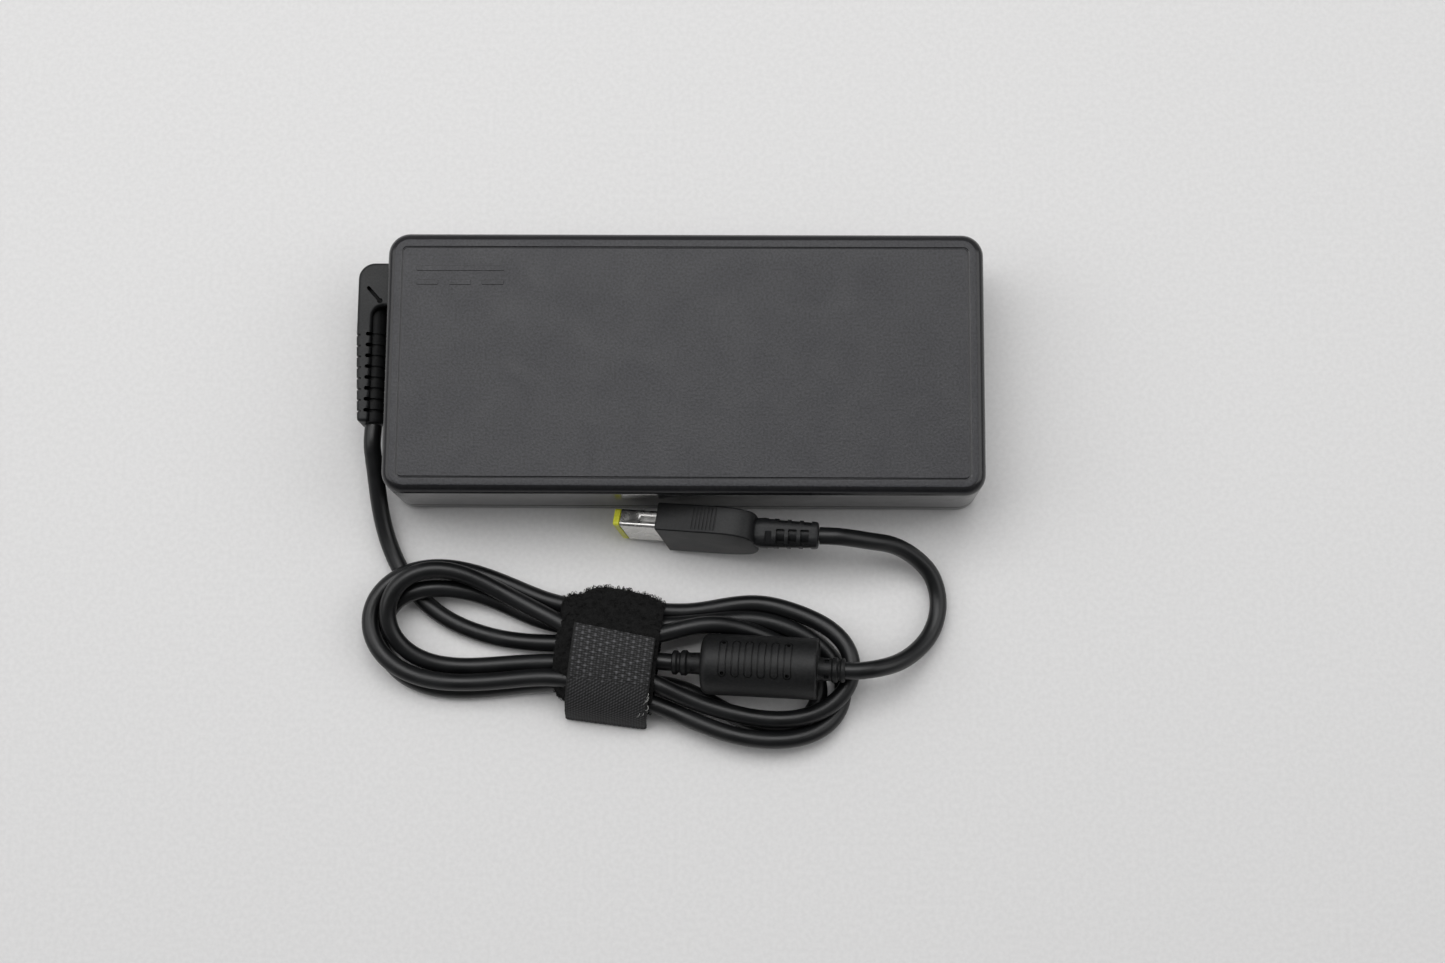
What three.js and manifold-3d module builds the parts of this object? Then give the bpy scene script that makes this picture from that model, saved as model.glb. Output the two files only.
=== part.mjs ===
// Laptop power adapter, in millimetres, +Z up.
// The origin is at the middle of the case's underside. +X runs along the case towards the mains
// inlet, +Y towards its back, and the DC cord leaves at -X and lies in front of the case.
import * as THREE from 'three';
import { mergeVertices } from 'three/addons/utils/BufferGeometryUtils.js';
import Module from 'manifold-3d';

const wasm = await Module();
wasm.setup();

// ---------------------------------------------------------------- driving dimensions
const GAP = 0.3;                      // clearance between neighbouring pieces

const CASE = { length: 150, width: 66.5, height: 27, corner: 5.5, wall: 2.2 };
const TOP_EDGE = 2.4;                 // rounding of the case's top and bottom edges
const PARTING = 6.5;                  // height of the joint between the two covers
const LIP = { wall: 3.4, rise: 1.5, inset: 2.45 };
const GROOVE = { inset: 3.7, width: 0.5, depth: 0.4, corner: 2.2 };

const INLET = { width: 27.4, height: 19.4, depth: 19, z: 13.5 };
const CAVITY = { width: 24.5, height: 16.5, depth: 15.8, chamfer: 4 };
const BLADE = { thickness: 2, height: 4, pitch: 14, offset: 2, recess: 2, tail: 5 };

const BOARD = { x0: -71, x1: 53, width: 57, z: 4.6, thickness: 1.6 };
const BOARD_TOP = BOARD.z + BOARD.thickness;
const SEAT = BOARD_TOP + GAP;         // where a component's lowest point stands

const CORD = { radius: 2.2, sides: 8, step: 5 };
const BOOT = {
  z: 12, thickness: 9, armY: 22.4, armWidth: 11.4, left: -84.2, right: -75.8, end: -13.4,
};
const FERRITE = {
  bodyRadius: 7.7, bodyStart: 7.6, bodyEnd: 36.8, length: 43.6, neck: 2.9, ring: 3.2,
};
const PLUG = {
  nose: new THREE.Vector3(-16.9, -37.8, 6.2), yaw: -8, pitch: 13.5, lean: 10.5,
  shellWidth: 11, shellThickness: 4.5, shellEnd: 15, noseRing: 1.6,
  bodyStart: 12, bodyEnd: 36.5, bodyWidth: 16, bodyThickness: 7.4,
};
const PLUG_BOOT = { length: 15.2, rootRadius: 3.7, endRadius: 3.3 };
const HANK_TOP = 9;                   // height of two layers of cord
const STRAP = {
  x: -19.8, y: -70.3, turn: -7, width: 26, half: 15.4, top: 13.2, thickness: 1.4,
  corner: 6.4, tailLeft: -8.2, tailRight: 12.6, tailThickness: 1.3,
};
const STRAP_LOW = 0.1;                // height of the strap's underside

const degrees = Math.PI / 180;

// ---------------------------------------------------------------- materials
const finish = (color, roughness, metalness = 0) =>
  new THREE.MeshStandardMaterial({ color, roughness, metalness });
const casePlastic = finish(0x2b2b2d, 0.55);
const bootRubber = finish(0x1b1c1d, 0.6);
const cordJacket = finish(0x18191a, 0.5);
const plugPlastic = finish(0x1d1d1f, 0.5);
const nosePlastic = finish(0xd6dc1e, 0.4);
const strapCloth = finish(0x101011, 0.95);
const nickel = finish(0xb9b6ae, 0.25, 1);
const aluminium = finish(0xb8babd, 0.4, 0.9);
const copper = finish(0xb4683a, 0.4, 0.8);
const boardGreen = finish(0x1f5a34, 0.5);
const insulatingPaper = finish(0x2a2a2c, 0.7);
const ferriteGrey = finish(0x3a3a3c, 0.8);
const epoxyBlack = finish(0x161617, 0.5);
const discBlue = finish(0x2d5fa8, 0.5);
const boxYellow = finish(0xd9b63c, 0.5);
const canSleeve = finish(0x1d2c4f, 0.4);
const tapeYellow = finish(0xd8b52e, 0.5);
const wireRed = finish(0xa82020, 0.5);
const wireBlue = finish(0x2550a0, 0.5);
const wireBlack = finish(0x141414, 0.5);

// ---------------------------------------------------------------- solids
const part = new THREE.Group();

function add(name, geometry, material, parent = part) {
  const mesh = new THREE.Mesh(geometry, material);
  mesh.name = name;
  parent.add(mesh);
  return mesh;
}

function solid(geometry) {
  const bare = geometry.clone();
  bare.deleteAttribute('normal');
  bare.deleteAttribute('uv');
  const merged = mergeVertices(bare, 1e-4);
  return new wasm.Manifold(new wasm.Mesh({
    numProp: 3,
    vertProperties: new Float32Array(merged.attributes.position.array),
    triVerts: new Uint32Array(merged.index.array),
  }));
}

function surface(manifold) {
  const mesh = manifold.getMesh();
  const geometry = new THREE.BufferGeometry();
  geometry.setAttribute('position', new THREE.BufferAttribute(mesh.vertProperties, 3));
  geometry.setIndex(new THREE.BufferAttribute(mesh.triVerts, 1));
  return geometry;
}

function cut(geometry, ...tools) {
  return surface(tools.reduce((body, tool) => body.subtract(solid(tool)), solid(geometry)));
}

function join(geometry, ...others) {
  return surface(others.reduce((body, other) => body.add(solid(other)), solid(geometry)));
}

function common(geometry, other) {
  return surface(solid(geometry).intersect(solid(other)));
}

// A block given by its lowest and highest corners.
function block(x0, y0, z0, x1, y1, z1) {
  const box = new THREE.BoxGeometry(x1 - x0, y1 - y0, z1 - z0);
  return box.translate((x0 + x1) / 2, (y0 + y1) / 2, (z0 + z1) / 2);
}

function roundRect(width, height, radius, Kind = THREE.Shape) {
  const [w, h] = [width / 2, height / 2];
  const outline = new Kind();
  outline.moveTo(-w + radius, -h);
  outline.lineTo(w - radius, -h);
  outline.absarc(w - radius, -h + radius, radius, -Math.PI / 2, 0);
  outline.lineTo(w, h - radius);
  outline.absarc(w - radius, h - radius, radius, 0, Math.PI / 2);
  outline.lineTo(-w + radius, h);
  outline.absarc(-w + radius, h - radius, radius, Math.PI / 2, Math.PI);
  outline.lineTo(-w, -h + radius);
  outline.absarc(-w + radius, -h + radius, radius, Math.PI, Math.PI * 1.5);
  return outline;
}

function slab(shape, z0, z1, curveSegments = 5) {
  const depth = z1 - z0;
  return new THREE.ExtrudeGeometry(shape, { depth, bevelEnabled: false, curveSegments })
    .translate(0, 0, z0);
}

// A slab from z0 to z1 whose upper and lower rims are rounded by `edge`.
function softSlab(shape, z0, z1, edge, curveSegments = 5, bevelSegments = 3) {
  return new THREE.ExtrudeGeometry(shape, {
    depth: z1 - z0 - 2 * edge,
    bevelThickness: edge, bevelSize: edge, bevelOffset: -edge, bevelSegments, curveSegments,
  }).translate(0, 0, z0 + edge);
}

// Turns a slab drawn in its own x, y and z into one drawn in Y, Z and X.
const sideways = new THREE.Matrix4().makeBasis(
  new THREE.Vector3(0, 1, 0), new THREE.Vector3(0, 0, 1), new THREE.Vector3(1, 0, 0));
const alongX = (geometry) => geometry.applyMatrix4(sideways);
// Turns one drawn in x, y and z into one drawn in X, Z and -Y.
const alongY = (geometry) => geometry.rotateX(Math.PI / 2);

function rod(radius, x0, x1, sides = 16) {
  return new THREE.CylinderGeometry(radius, radius, x1 - x0, sides)
    .rotateZ(-Math.PI / 2).translate((x0 + x1) / 2, 0, 0);
}

function post(radius, z0, z1, sides = 16) {
  return new THREE.CylinderGeometry(radius, radius, z1 - z0, sides)
    .rotateX(Math.PI / 2).translate(0, 0, (z0 + z1) / 2);
}

// A closed round tube along a smooth curve through the points.
function tube(points, radius, sides, step) {
  const nodes = points.map((p) => new THREE.Vector3(...p));
  const path = new THREE.CatmullRomCurve3(nodes, false, 'centripetal');
  const section = new THREE.Shape();
  for (let i = 0; i < sides; i += 1) {
    const angle = (i / sides) * 2 * Math.PI;
    section[i ? 'lineTo' : 'moveTo'](radius * Math.cos(angle), radius * Math.sin(angle));
  }
  const steps = Math.round(path.getLength() / step);
  return new THREE.ExtrudeGeometry(section, { steps, extrudePath: path, bevelEnabled: false });
}

// ---------------------------------------------------------------- case
function caseSolid(inset, floor, edge, fineness) {
  const { length, width, height, corner } = CASE;
  const outline = roundRect(length - 2 * inset, width - 2 * inset, corner - Math.min(inset, 3.5));
  return softSlab(outline, floor, height - floor, edge, fineness + 2, fineness);
}

function ringSlab(inset, width, corner, z0, z1) {
  const outer = roundRect(CASE.length - 2 * inset, CASE.width - 2 * inset, corner);
  const inner = inset + width;
  const hole = roundRect(
    CASE.length - 2 * inner, CASE.width - 2 * inner, corner - width * 0.6, THREE.Path);
  outer.holes.push(hole);
  return slab(outer, z0, z1, 4);
}

function inletHole() {
  const { width, height, z } = INLET;
  const hole = slab(roundRect(width + 2 * GAP, height + 2 * GAP, 2.3), 60, 80, 3);
  return alongX(hole).translate(0, 0, z);
}

function outletNotch() {
  const half = (BOOT.armWidth - 2) / 2 + GAP;
  return block(-80, BOOT.armY - half, PARTING - 5, -70, BOOT.armY + half, BOOT.z + 3.5 + GAP);
}

// The direct-current symbol, raised on the top face near the outlet corner.
function currentSymbol() {
  const [left, right, y, z] = [-67.5, -45.5, 23.2, CASE.height];
  const dash = (right - left) / 4;
  const bars = [block(left, y, z - 0.6, right, y + 1.3, z + 0.18)];
  for (let i = 0; i < 3; i += 1) {
    const x = left + i * (right - left - dash) / 2;
    bars.push(block(x, y - 3.6, z - 0.6, x + dash, y - 2.3, z + 0.18));
  }
  return bars;
}

const EVERYWHERE = 200;
const outer = caseSolid(0, 0, TOP_EDGE, 4);
const topBlank = common(outer, block(
  -EVERYWHERE, -EVERYWHERE, PARTING + GAP / 2, EVERYWHERE, EVERYWHERE, EVERYWHERE));
const bottomBlank = common(outer, block(
  -EVERYWHERE, -EVERYWHERE, -1, EVERYWHERE, EVERYWHERE, PARTING - GAP / 2));

const grooveRing = ringSlab(
  GROOVE.inset, GROOVE.width, GROOVE.corner, CASE.height - GROOVE.depth, CASE.height + 1);
const hollow = caseSolid(CASE.wall, CASE.wall, 1, 1);
const topShell = cut(topBlank, hollow, grooveRing, inletHole(), outletNotch());
add('top_cover', join(topShell, ...currentSymbol()), casePlastic);

const tray = cut(bottomBlank, caseSolid(LIP.wall, 2, 1, 1));
const lip = ringSlab(LIP.inset, LIP.wall - LIP.inset, 2.8, PARTING - 1.5, PARTING + LIP.rise);
const bosses = [-1, 1].flatMap((sx) => [-1, 1].map((sy) =>
  post(2.4, 1.5, BOARD.z - GAP, 12).translate(-9 + sx * 57, sy * 25, 0)));
add('bottom_cover', cut(join(tray, lip, ...bosses), inletHole(), outletNotch()), casePlastic);

// ---------------------------------------------------------------- shields and board
function channel(width, drop, z, thickness) {
  const profile = new THREE.Shape();
  const [w, t] = [width / 2, thickness];
  const corners = [[-w, z - drop], [-w, z], [w, z], [w, z - drop], [w - t, z - drop], [w - t, z - t],
    [-w + t, z - t], [-w + t, z - drop]];
  profile.setFromPoints(corners.map(([x, y]) => new THREE.Vector2(x, y)).reverse());
  return alongX(slab(profile, -68, 50));
}

const SHEET_X = [-60, 42];
const SHEET_Y = 21.5;
add('shield_plate_top', channel(56, 15, 24.3, 0.5), aluminium);
add('insulating_sheet_top', channel(54, 15.5, 23.4, 0.4), insulatingPaper);
add('heat_spreader_bottom', block(SHEET_X[0], -SHEET_Y, 2.3, SHEET_X[1], SHEET_Y, 2.8), aluminium);
add('insulating_sheet_bottom', block(
  SHEET_X[0] - 1, -SHEET_Y - 1, 3.1, SHEET_X[1] + 1, SHEET_Y + 1, 3.5), insulatingPaper);
add('main_circuit_board', block(
  BOARD.x0, -BOARD.width / 2, BOARD.z, BOARD.x1, BOARD.width / 2, BOARD_TOP), boardGreen);

// ---------------------------------------------------------------- mains inlet
const caseEnd = CASE.length / 2;
const cavityFloor = caseEnd - CAVITY.depth;

function cavityOutline() {
  const [w, h, c] = [CAVITY.width / 2, CAVITY.height / 2, CAVITY.chamfer];
  const corners = [[-w, -h], [w, -h], [w, h - c], [w - c, h], [-w + c, h], [-w, h - c]];
  return new THREE.Shape(corners.map(([x, y]) => new THREE.Vector2(x, y)));
}

const bladeSeats = {
  inlet_pin_line: [-BLADE.pitch / 2, -BLADE.offset],
  inlet_pin_neutral: [BLADE.pitch / 2, -BLADE.offset],
  inlet_pin_earth: [0, BLADE.offset],
};

function blade([y, dz], x0, x1, clearance) {
  const [t, h] = [BLADE.thickness / 2 + clearance, BLADE.height / 2 + clearance];
  return block(x0, y - t, INLET.z + dz - h, x1, y + t, INLET.z + dz + h);
}

function inletHousing() {
  const back = caseEnd - INLET.depth;
  const body = alongX(slab(roundRect(INLET.width, INLET.height, 2), back, caseEnd, 3));
  const flange = alongX(slab(roundRect(INLET.width + 4, INLET.height - 0.6, 2), back, caseEnd - 4.2, 3));
  const cavity = alongX(slab(cavityOutline(), cavityFloor, caseEnd + 1));
  const shell = join(body.translate(0, 0, INLET.z), flange.translate(0, 0, INLET.z));
  const slots = Object.values(bladeSeats).map((seat) => blade(seat, back - 1, cavityFloor + 1, 0.1));
  return cut(shell, cavity.translate(0, 0, INLET.z), ...slots);
}

add('inlet_housing', inletHousing(), epoxyBlack);
for (const [name, seat] of Object.entries(bladeSeats)) {
  add(name, blade(seat, caseEnd - INLET.depth - BLADE.tail + 2, caseEnd - BLADE.recess, 0), nickel);
}

const tailX = caseEnd - INLET.depth - BLADE.tail + 2 - GAP;
const inletWires = [
  ['inlet_wire_line', -7, -2, -7, wireBlack],
  ['inlet_wire_neutral', 7, -2, 1.5, wireBlue],
  ['inlet_wire_earth', 0, 2, 22, wireRed],
];
for (const [name, y, dz, seatY, material] of inletWires) {
  const z = INLET.z + dz;
  const points = [[tailX, y, z], [tailX - 1.6, y, z], [tailX - 3, (y + seatY) / 2, (z + SEAT) / 2 + 1.5],
    [tailX - 3.6, seatY, SEAT + 2.4], [tailX - 3.6, seatY, SEAT]];
  add(name, tube(points, 0.8, 8, 1.6), material);
}

// ---------------------------------------------------------------- components on the board
// A rectangular core with two windows and the winding on its middle limb, seen from above.
function windowedCore(length, limb, window, height) {
  const width = 2 * window + 2 * limb;
  const core = new THREE.Shape();
  core.setFromPoints([[-length / 2, -width / 2], [length / 2, -width / 2],
    [length / 2, width / 2], [-length / 2, width / 2]].map(([x, y]) => new THREE.Vector2(x, y)));
  const windowLength = length - limb;
  for (const side of [-1, 1]) {
    const y = side * (limb / 2 + window / 2);
    const hole = new THREE.Path();
    hole.setFromPoints([[-1, -1], [-1, 1], [1, 1], [1, -1]].map(
      ([sx, sy]) => new THREE.Vector2(sx * windowLength / 2, y + sy * window / 2)));
    core.holes.push(hole);
  }
  return slab(core, -height / 2, height / 2);
}

function sleeve(length, width, height, wall) {
  const outline = roundRect(width + 2 * wall, height + 2 * wall, 2);
  outline.holes.push(roundRect(width, height, 0.4, THREE.Path));
  return alongX(slab(outline, -length / 2, length / 2, 2));
}

function woundCore(coreName, windingName, at, size, windingMaterial) {
  const { length, limb, window, height } = size;
  const build = window - 1.5 * GAP;
  const windingHeight = height + 2 * GAP + 2 * build;
  const z = SEAT + windingHeight / 2;
  add(coreName, windowedCore(length, limb, window, height), ferriteGrey).position.set(at[0], at[1], z);
  const winding = sleeve(length - limb - 2 * GAP, limb + 2 * GAP, height + 2 * GAP, build - GAP);
  add(windingName, winding, windingMaterial).position.set(at[0], at[1], z);
}

woundCore('transformer_core', 'transformer_winding', [-29, 11.6],
  { length: 30, limb: 8, window: 4.6, height: 6.4 }, tapeYellow);
woundCore('pfc_choke_core', 'pfc_choke_winding', [1, 12.4],
  { length: 22, limb: 7, window: 4, height: 6 }, copper);

function commonModeChoke() {
  const [length, leg, span, height] = [20, 5, 9, 6];
  const frame = new THREE.Shape();
  const hole = new THREE.Path();
  const rectangle = (x, y) => [[-x, -y], [x, -y], [x, y], [-x, y]].map(
    ([a, b]) => new THREE.Vector2(a, b));
  frame.setFromPoints(rectangle(length / 2, span));
  hole.setFromPoints(rectangle(length / 2 - leg + 0.6, span - leg).reverse());
  frame.holes.push(hole);
  const z = SEAT + height / 2 + GAP + 3;
  add('filter_choke_core', slab(frame, -height / 2, height / 2), ferriteGrey).position.set(24, 12.4, z);
  for (const [name, side] of [['filter_choke_winding_1', -1], ['filter_choke_winding_2', 1]]) {
    const winding = sleeve(length - 2 * leg + 0.6, leg + 2 * GAP, height + 2 * GAP, 3);
    add(name, winding, copper).position.set(24, 12.4 + side * (span - leg / 2), z);
  }
}
commonModeChoke();

// A disc component that stands on its rim, with its flat sides along X.
function disc(radius, thickness) {
  return rod(radius, -thickness / 2, thickness / 2, 20);
}

const discs = [
  ['varistor', 46, -13, 5.2, 4.2, discBlue],
  ['inrush_thermistor', 39.6, -2.5, 5, 3.6, epoxyBlack],
  ['line_to_earth_capacitor_1', 40, 9, 3.8, 3.2, discBlue],
  ['line_to_earth_capacitor_2', 40, 18.5, 3.8, 3.2, discBlue],
];
for (const [name, x, y, radius, thickness, material] of discs) {
  add(name, disc(radius, thickness), material).position.set(x, y, SEAT + radius);
}

const fuseBody = join(rod(2.7, -5.5, 5.5, 12), rod(3.1, -8, -4.5, 12), rod(3.1, 4.5, 8, 12));
add('fuse', fuseBody, nickel).position.set(43, -22.6, SEAT + 3.1);
add('line_capacitor', softSlab(roundRect(17, 8.6, 0.8), 0, 15, 0.6, 2, 1), boxYellow)
  .position.set(24.5, -20.4, SEAT);
add('bulk_capacitor', join(rod(8, -19, 18.4, 28), rod(7.4, 18, 19, 28)), canSleeve)
  .position.set(-9, -17.4, SEAT + 8);

// A flat power package with three legs, standing on its legs and facing +Y.
function powerPackage(width, thickness, height, legs) {
  const legDrop = 3;
  const pins = [];
  for (let i = 0; i < legs; i += 1) {
    const x = (i - (legs - 1) / 2) * (width / (legs + 0.6));
    pins.push(block(x - 0.45, -0.3, 0, x + 0.45, 0.3, legDrop + 0.5));
  }
  const [w, t] = [width / 2, thickness / 2];
  return join(block(-w, -t, legDrop, w, t, legDrop + height), ...pins);
}

add('bridge_rectifier', powerPackage(18, 3.6, 11.5, 4), epoxyBlack).position.set(24.5, -8, SEAT);

const primaryWallY = -7.6;
add('primary_heatsink', join(block(-38, primaryWallY, SEAT, 12, primaryWallY + 1.4, 22),
  block(-38, primaryWallY - 1.2, 20.8, 12, primaryWallY + 1.4, 22)), aluminium);
for (const [name, x] of [['pfc_transistor', 6], ['pfc_diode', -6], ['primary_transistor', -18]]) {
  add(name, powerPackage(10, 3, 11, 3), epoxyBlack).position.set(x, primaryWallY + 1.4 + GAP + 1.5, SEAT);
}

const secondaryWallX = -49.6;
add('secondary_heatsink', join(block(secondaryWallX, -24, SEAT, secondaryWallX + 1.4, 2, 21),
  block(secondaryWallX, -24, 19.8, secondaryWallX + 3.4, 2, 21)), aluminium);
for (const [name, y] of [['rectifier_transistor_1', -18], ['rectifier_transistor_2', -5]]) {
  const device = add(name, powerPackage(10, 3, 11, 3), epoxyBlack);
  device.position.set(secondaryWallX - GAP - 1.5, y, SEAT);
  device.rotation.z = Math.PI / 2;
}
for (let i = 0; i < 3; i += 1) {
  const can = join(post(4, 0, 13.4, 18), post(3.6, 13, 14, 18));
  add(`output_capacitor_${i + 1}`, can, canSleeve).position.set(-60.4, -21.5 + i * 9, SEAT);
}

function toroid(radius, wire) {
  const profile = [];
  const steps = 8;
  for (let i = 0; i <= steps; i += 1) {
    const angle = (i / steps) * 2 * Math.PI;
    profile.push(new THREE.Vector2(radius + wire * Math.cos(angle), wire * Math.sin(angle)));
  }
  return new THREE.LatheGeometry(profile, 16).rotateX(Math.PI / 2);
}
add('output_choke', toroid(5, 2.6), copper).position.set(-59.5, 12, SEAT + 2.6);
add('optocoupler', block(-3.2, -2.3, 0, 3.2, 2.3, 3.4), epoxyBlack).position.set(-38, -15.5, SEAT);
add('control_chip', join(block(-4.5, -2, 0.4, 4.5, 2, 1.9), block(-4, -3, 0, 4, 3, 0.5)), epoxyBlack)
  .position.set(-38, -22, SEAT);

// ---------------------------------------------------------------- DC outlet boot
const bootMid = (BOOT.left + BOOT.right) / 2;

function bootOutline() {
  const { armY, armWidth, left, right, end } = BOOT;
  const [top, low] = [armY + armWidth / 2, armY - armWidth / 2];
  const wall = -caseEnd - GAP;
  const endHalf = 3.3;
  const outline = new THREE.Shape();
  outline.moveTo(wall, low);
  outline.lineTo(wall, top);
  outline.lineTo(left + 4.2, top);
  outline.absarc(left + 4.2, top - 4.2, 4.2, Math.PI / 2, Math.PI);
  outline.lineTo(left, 6);
  outline.lineTo(bootMid - endHalf, end);
  outline.lineTo(bootMid + endHalf, end);
  outline.lineTo(right, 6);
  outline.lineTo(right, low - 2.5);
  outline.quadraticCurveTo(right, low, wall, low);
  return outline;
}

function outletBoot() {
  const { z, thickness, armY, armWidth } = BOOT;
  const half = thickness / 2;
  const body = softSlab(bootOutline(), z - half, z + half, 1.6, 4, 3);
  const halfArm = armWidth / 2;
  const tongue = block(
    -caseEnd - 1.5, armY - halfArm + 1, z - 3.5, -71.6, armY + halfArm - 1, z + 3.5);
  const flange = block(
    -72.5, armY - halfArm - 0.6, z - 4, -71.4, armY + halfArm + 0.6, z + 4);
  const notches = [];
  const [first, pitch, count] = [9, 2.95, 8];
  for (let i = 0; i < count; i += 1) {
    const y = first - i * pitch;
    for (const side of [-1, 1]) {
      const low = z + side * 3.2 - (side < 0 ? 2 : 0);
      notches.push(block(bootMid - 2, y - 0.6, low, bootMid + 2, y + 0.6, low + 2));
    }
  }
  return cut(join(body, tongue, flange), ...notches);
}
add('dc_outlet_boot', outletBoot(), bootRubber);

const outputWires = [
  ['output_wire_positive', 19.4, 12, 13, wireRed],
  ['output_wire_ground', 22.4, 10.4, 17.5, wireBlack],
  ['output_wire_sense', 25, 13.4, 24, wireBlue],
];
for (const [name, y, z, seatY, material] of outputWires) {
  const start = -71.4 + GAP;
  const points = [[start, y, z], [start + 1.4, y, z], [start + 2.6, (y + seatY) / 2, (z + SEAT) / 2 + 1],
    [start + 3, seatY, SEAT + 1.8], [start + 3, seatY, SEAT]];
  add(name, tube(points, 0.75, 8, 1.5), material);
}

// ---------------------------------------------------------------- plug
const plug = new THREE.Group();
plug.position.copy(PLUG.nose);
plug.rotation.set(-PLUG.lean * degrees, -PLUG.pitch * degrees, PLUG.yaw * degrees, 'ZXY');
part.add(plug);

// In the plug's own axes x runs from its nose to its cord, y across its thickness, z across
// its width.
const plugSection = (thickness, width, radius, x0, x1) =>
  alongX(slab(roundRect(thickness, width, radius), x0, x1, 3));

function plugHousing() {
  const { bodyStart, bodyEnd, bodyWidth, bodyThickness, shellThickness, shellWidth, shellEnd } = PLUG;
  const half = bodyWidth / 2;
  const bend = 8.5;
  const outline = new THREE.Shape();
  outline.moveTo(bodyStart, -half);
  outline.lineTo(bodyEnd - bend, -half);
  outline.bezierCurveTo(bodyEnd - 2.5, -half, bodyEnd, -half + 2.5, bodyEnd, -4);
  outline.lineTo(bodyEnd, 4);
  outline.bezierCurveTo(bodyEnd, half - 2.5, bodyEnd - 2.5, half, bodyEnd - bend, half);
  outline.lineTo(bodyStart, half);
  const t = bodyThickness / 2;
  const body = alongY(softSlab(outline, -t, t, 0.8, 6, 2));
  const pocket = plugSection(
    shellThickness + 2 * GAP, shellWidth + 2 * GAP, 1, bodyStart - 1, shellEnd + GAP);
  return cut(body, pocket);
}

function plugShell() {
  const { shellThickness, shellWidth, shellEnd, noseRing } = PLUG;
  const wall = 0.4;
  const start = noseRing + GAP;
  const outside = plugSection(shellThickness, shellWidth, 0.8, start, shellEnd);
  const inside = plugSection(
    shellThickness - 2 * wall, shellWidth - 2 * wall, 0.5, start - 1, shellEnd + 1);
  const detent = block(6.4, -1.1, -shellWidth, 11.2, 1.1, shellWidth);
  return cut(outside, inside, detent);
}

function plugNose() {
  const { shellThickness, shellWidth, noseRing } = PLUG;
  const ring = plugSection(shellThickness, shellWidth, 0.8, 0, noseRing);
  const core = plugSection(shellThickness - 1.4, shellWidth - 1.4, 0.5, noseRing - 0.2, 12);
  const mouth = plugSection(2, 8, 0.4, -1, 10);
  return cut(join(ring, core), mouth);
}

add('plug_housing', plugHousing(), plugPlastic, plug);
add('plug_shell', plugShell(), nickel, plug);
add('plug_nose_insulator', plugNose(), nosePlastic, plug);
add('plug_contact_pin', rod(0.45, 1.2, 9.6, 10), nickel, plug);

const bootGroup = new THREE.Group();
const plugRear = new THREE.Vector3(PLUG.bodyEnd + GAP, 0, 0)
  .applyEuler(plug.rotation).add(PLUG.nose);
bootGroup.position.copy(plugRear);
bootGroup.rotation.set(0, -4 * degrees, -3 * degrees, 'ZXY');
part.add(bootGroup);

function plugBoot() {
  const { length, rootRadius, endRadius } = PLUG_BOOT;
  const profile = [[0, 0.6], [rootRadius - 0.4, 0.6], [rootRadius, 1.4], [endRadius + 0.1, length - 1],
    [endRadius - 0.3, length], [0, length]].map(([r, x]) => new THREE.Vector2(r, x));
  const body = new THREE.LatheGeometry(profile, 20).rotateZ(-Math.PI / 2);
  const windows = [];
  for (let i = 0; i < 4; i += 1) {
    const x = 3.4 + i * 3;
    windows.push(block(x - 0.8, -1.6, 2.7, x + 0.8, 1.6, 5));
    windows.push(block(x - 0.8, -1.6, -5, x + 0.8, 1.6, -2.7));
    windows.push(block(x - 0.8, -5, -1.3, x + 0.8, -2.7, 1.3));
    windows.push(block(x - 0.8, 2.7, -1.3, x + 0.8, 5, 1.3));
  }
  return cut(body, ...windows);
}
add('plug_boot', plugBoot(), bootRubber, bootGroup);
const cordEnd = new THREE.Vector3(PLUG_BOOT.length + GAP, 0, 0)
  .applyEuler(bootGroup.rotation).add(bootGroup.position);
const beforeEnd = new THREE.Vector3(PLUG_BOOT.length + 5, 0, 0)
  .applyEuler(bootGroup.rotation).add(bootGroup.position);

// ---------------------------------------------------------------- ferrite bead
const bead = new THREE.Group();
bead.position.set(-2.7, -73.4, 8.6);
bead.rotation.set(0, -6 * degrees, -2.9 * degrees, 'ZXY');
part.add(bead);

function beadOvermould() {
  const { bodyRadius, bodyStart, bodyEnd, length, neck, ring } = FERRITE;
  const bore = CORD.radius + GAP;
  const chamber = 6.3;
  const profile = [
    [bore, 0], [ring, 0], [ring, 1.6], [neck, 1.9], [neck, 2.3], [ring, 2.6], [ring, 4.2], [neck, 4.6],
    [neck, bodyStart], [bodyRadius - 1, bodyStart], [bodyRadius, bodyStart + 1],
    [bodyRadius, bodyEnd - 1], [bodyRadius - 1, bodyEnd], [neck, bodyEnd], [neck, length - 4.6],
    [ring, length - 4.2], [ring, length - 2.6], [neck, length - 2.3], [neck, length - 1.9],
    [ring, length - 1.6], [ring, length], [bore, length],
    [bore, bodyEnd - 1.2], [chamber, bodyEnd - 1.2], [chamber, bodyStart + 1.2], [bore, bodyStart + 1.2],
    [bore, 0],
  ].map(([r, x]) => new THREE.Vector2(r, x));
  return new THREE.LatheGeometry(profile, 20).rotateZ(-Math.PI / 2);
}

function beadCore() {
  const [x0, x1] = [FERRITE.bodyStart + 1.2 + GAP, FERRITE.bodyEnd - 1.2 - GAP];
  const [inside, outside] = [CORD.radius + 1.5 * GAP, 6];
  const profile = [[inside, x0], [outside, x0], [outside, x1], [inside, x1], [inside, x0]];
  return new THREE.LatheGeometry(profile.map(([r, x]) => new THREE.Vector2(r, x)), 20)
    .rotateZ(-Math.PI / 2);
}
add('ferrite_bead_overmould', beadOvermould(), bootRubber, bead);
add('ferrite_core', beadCore(), ferriteGrey, bead);

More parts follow.
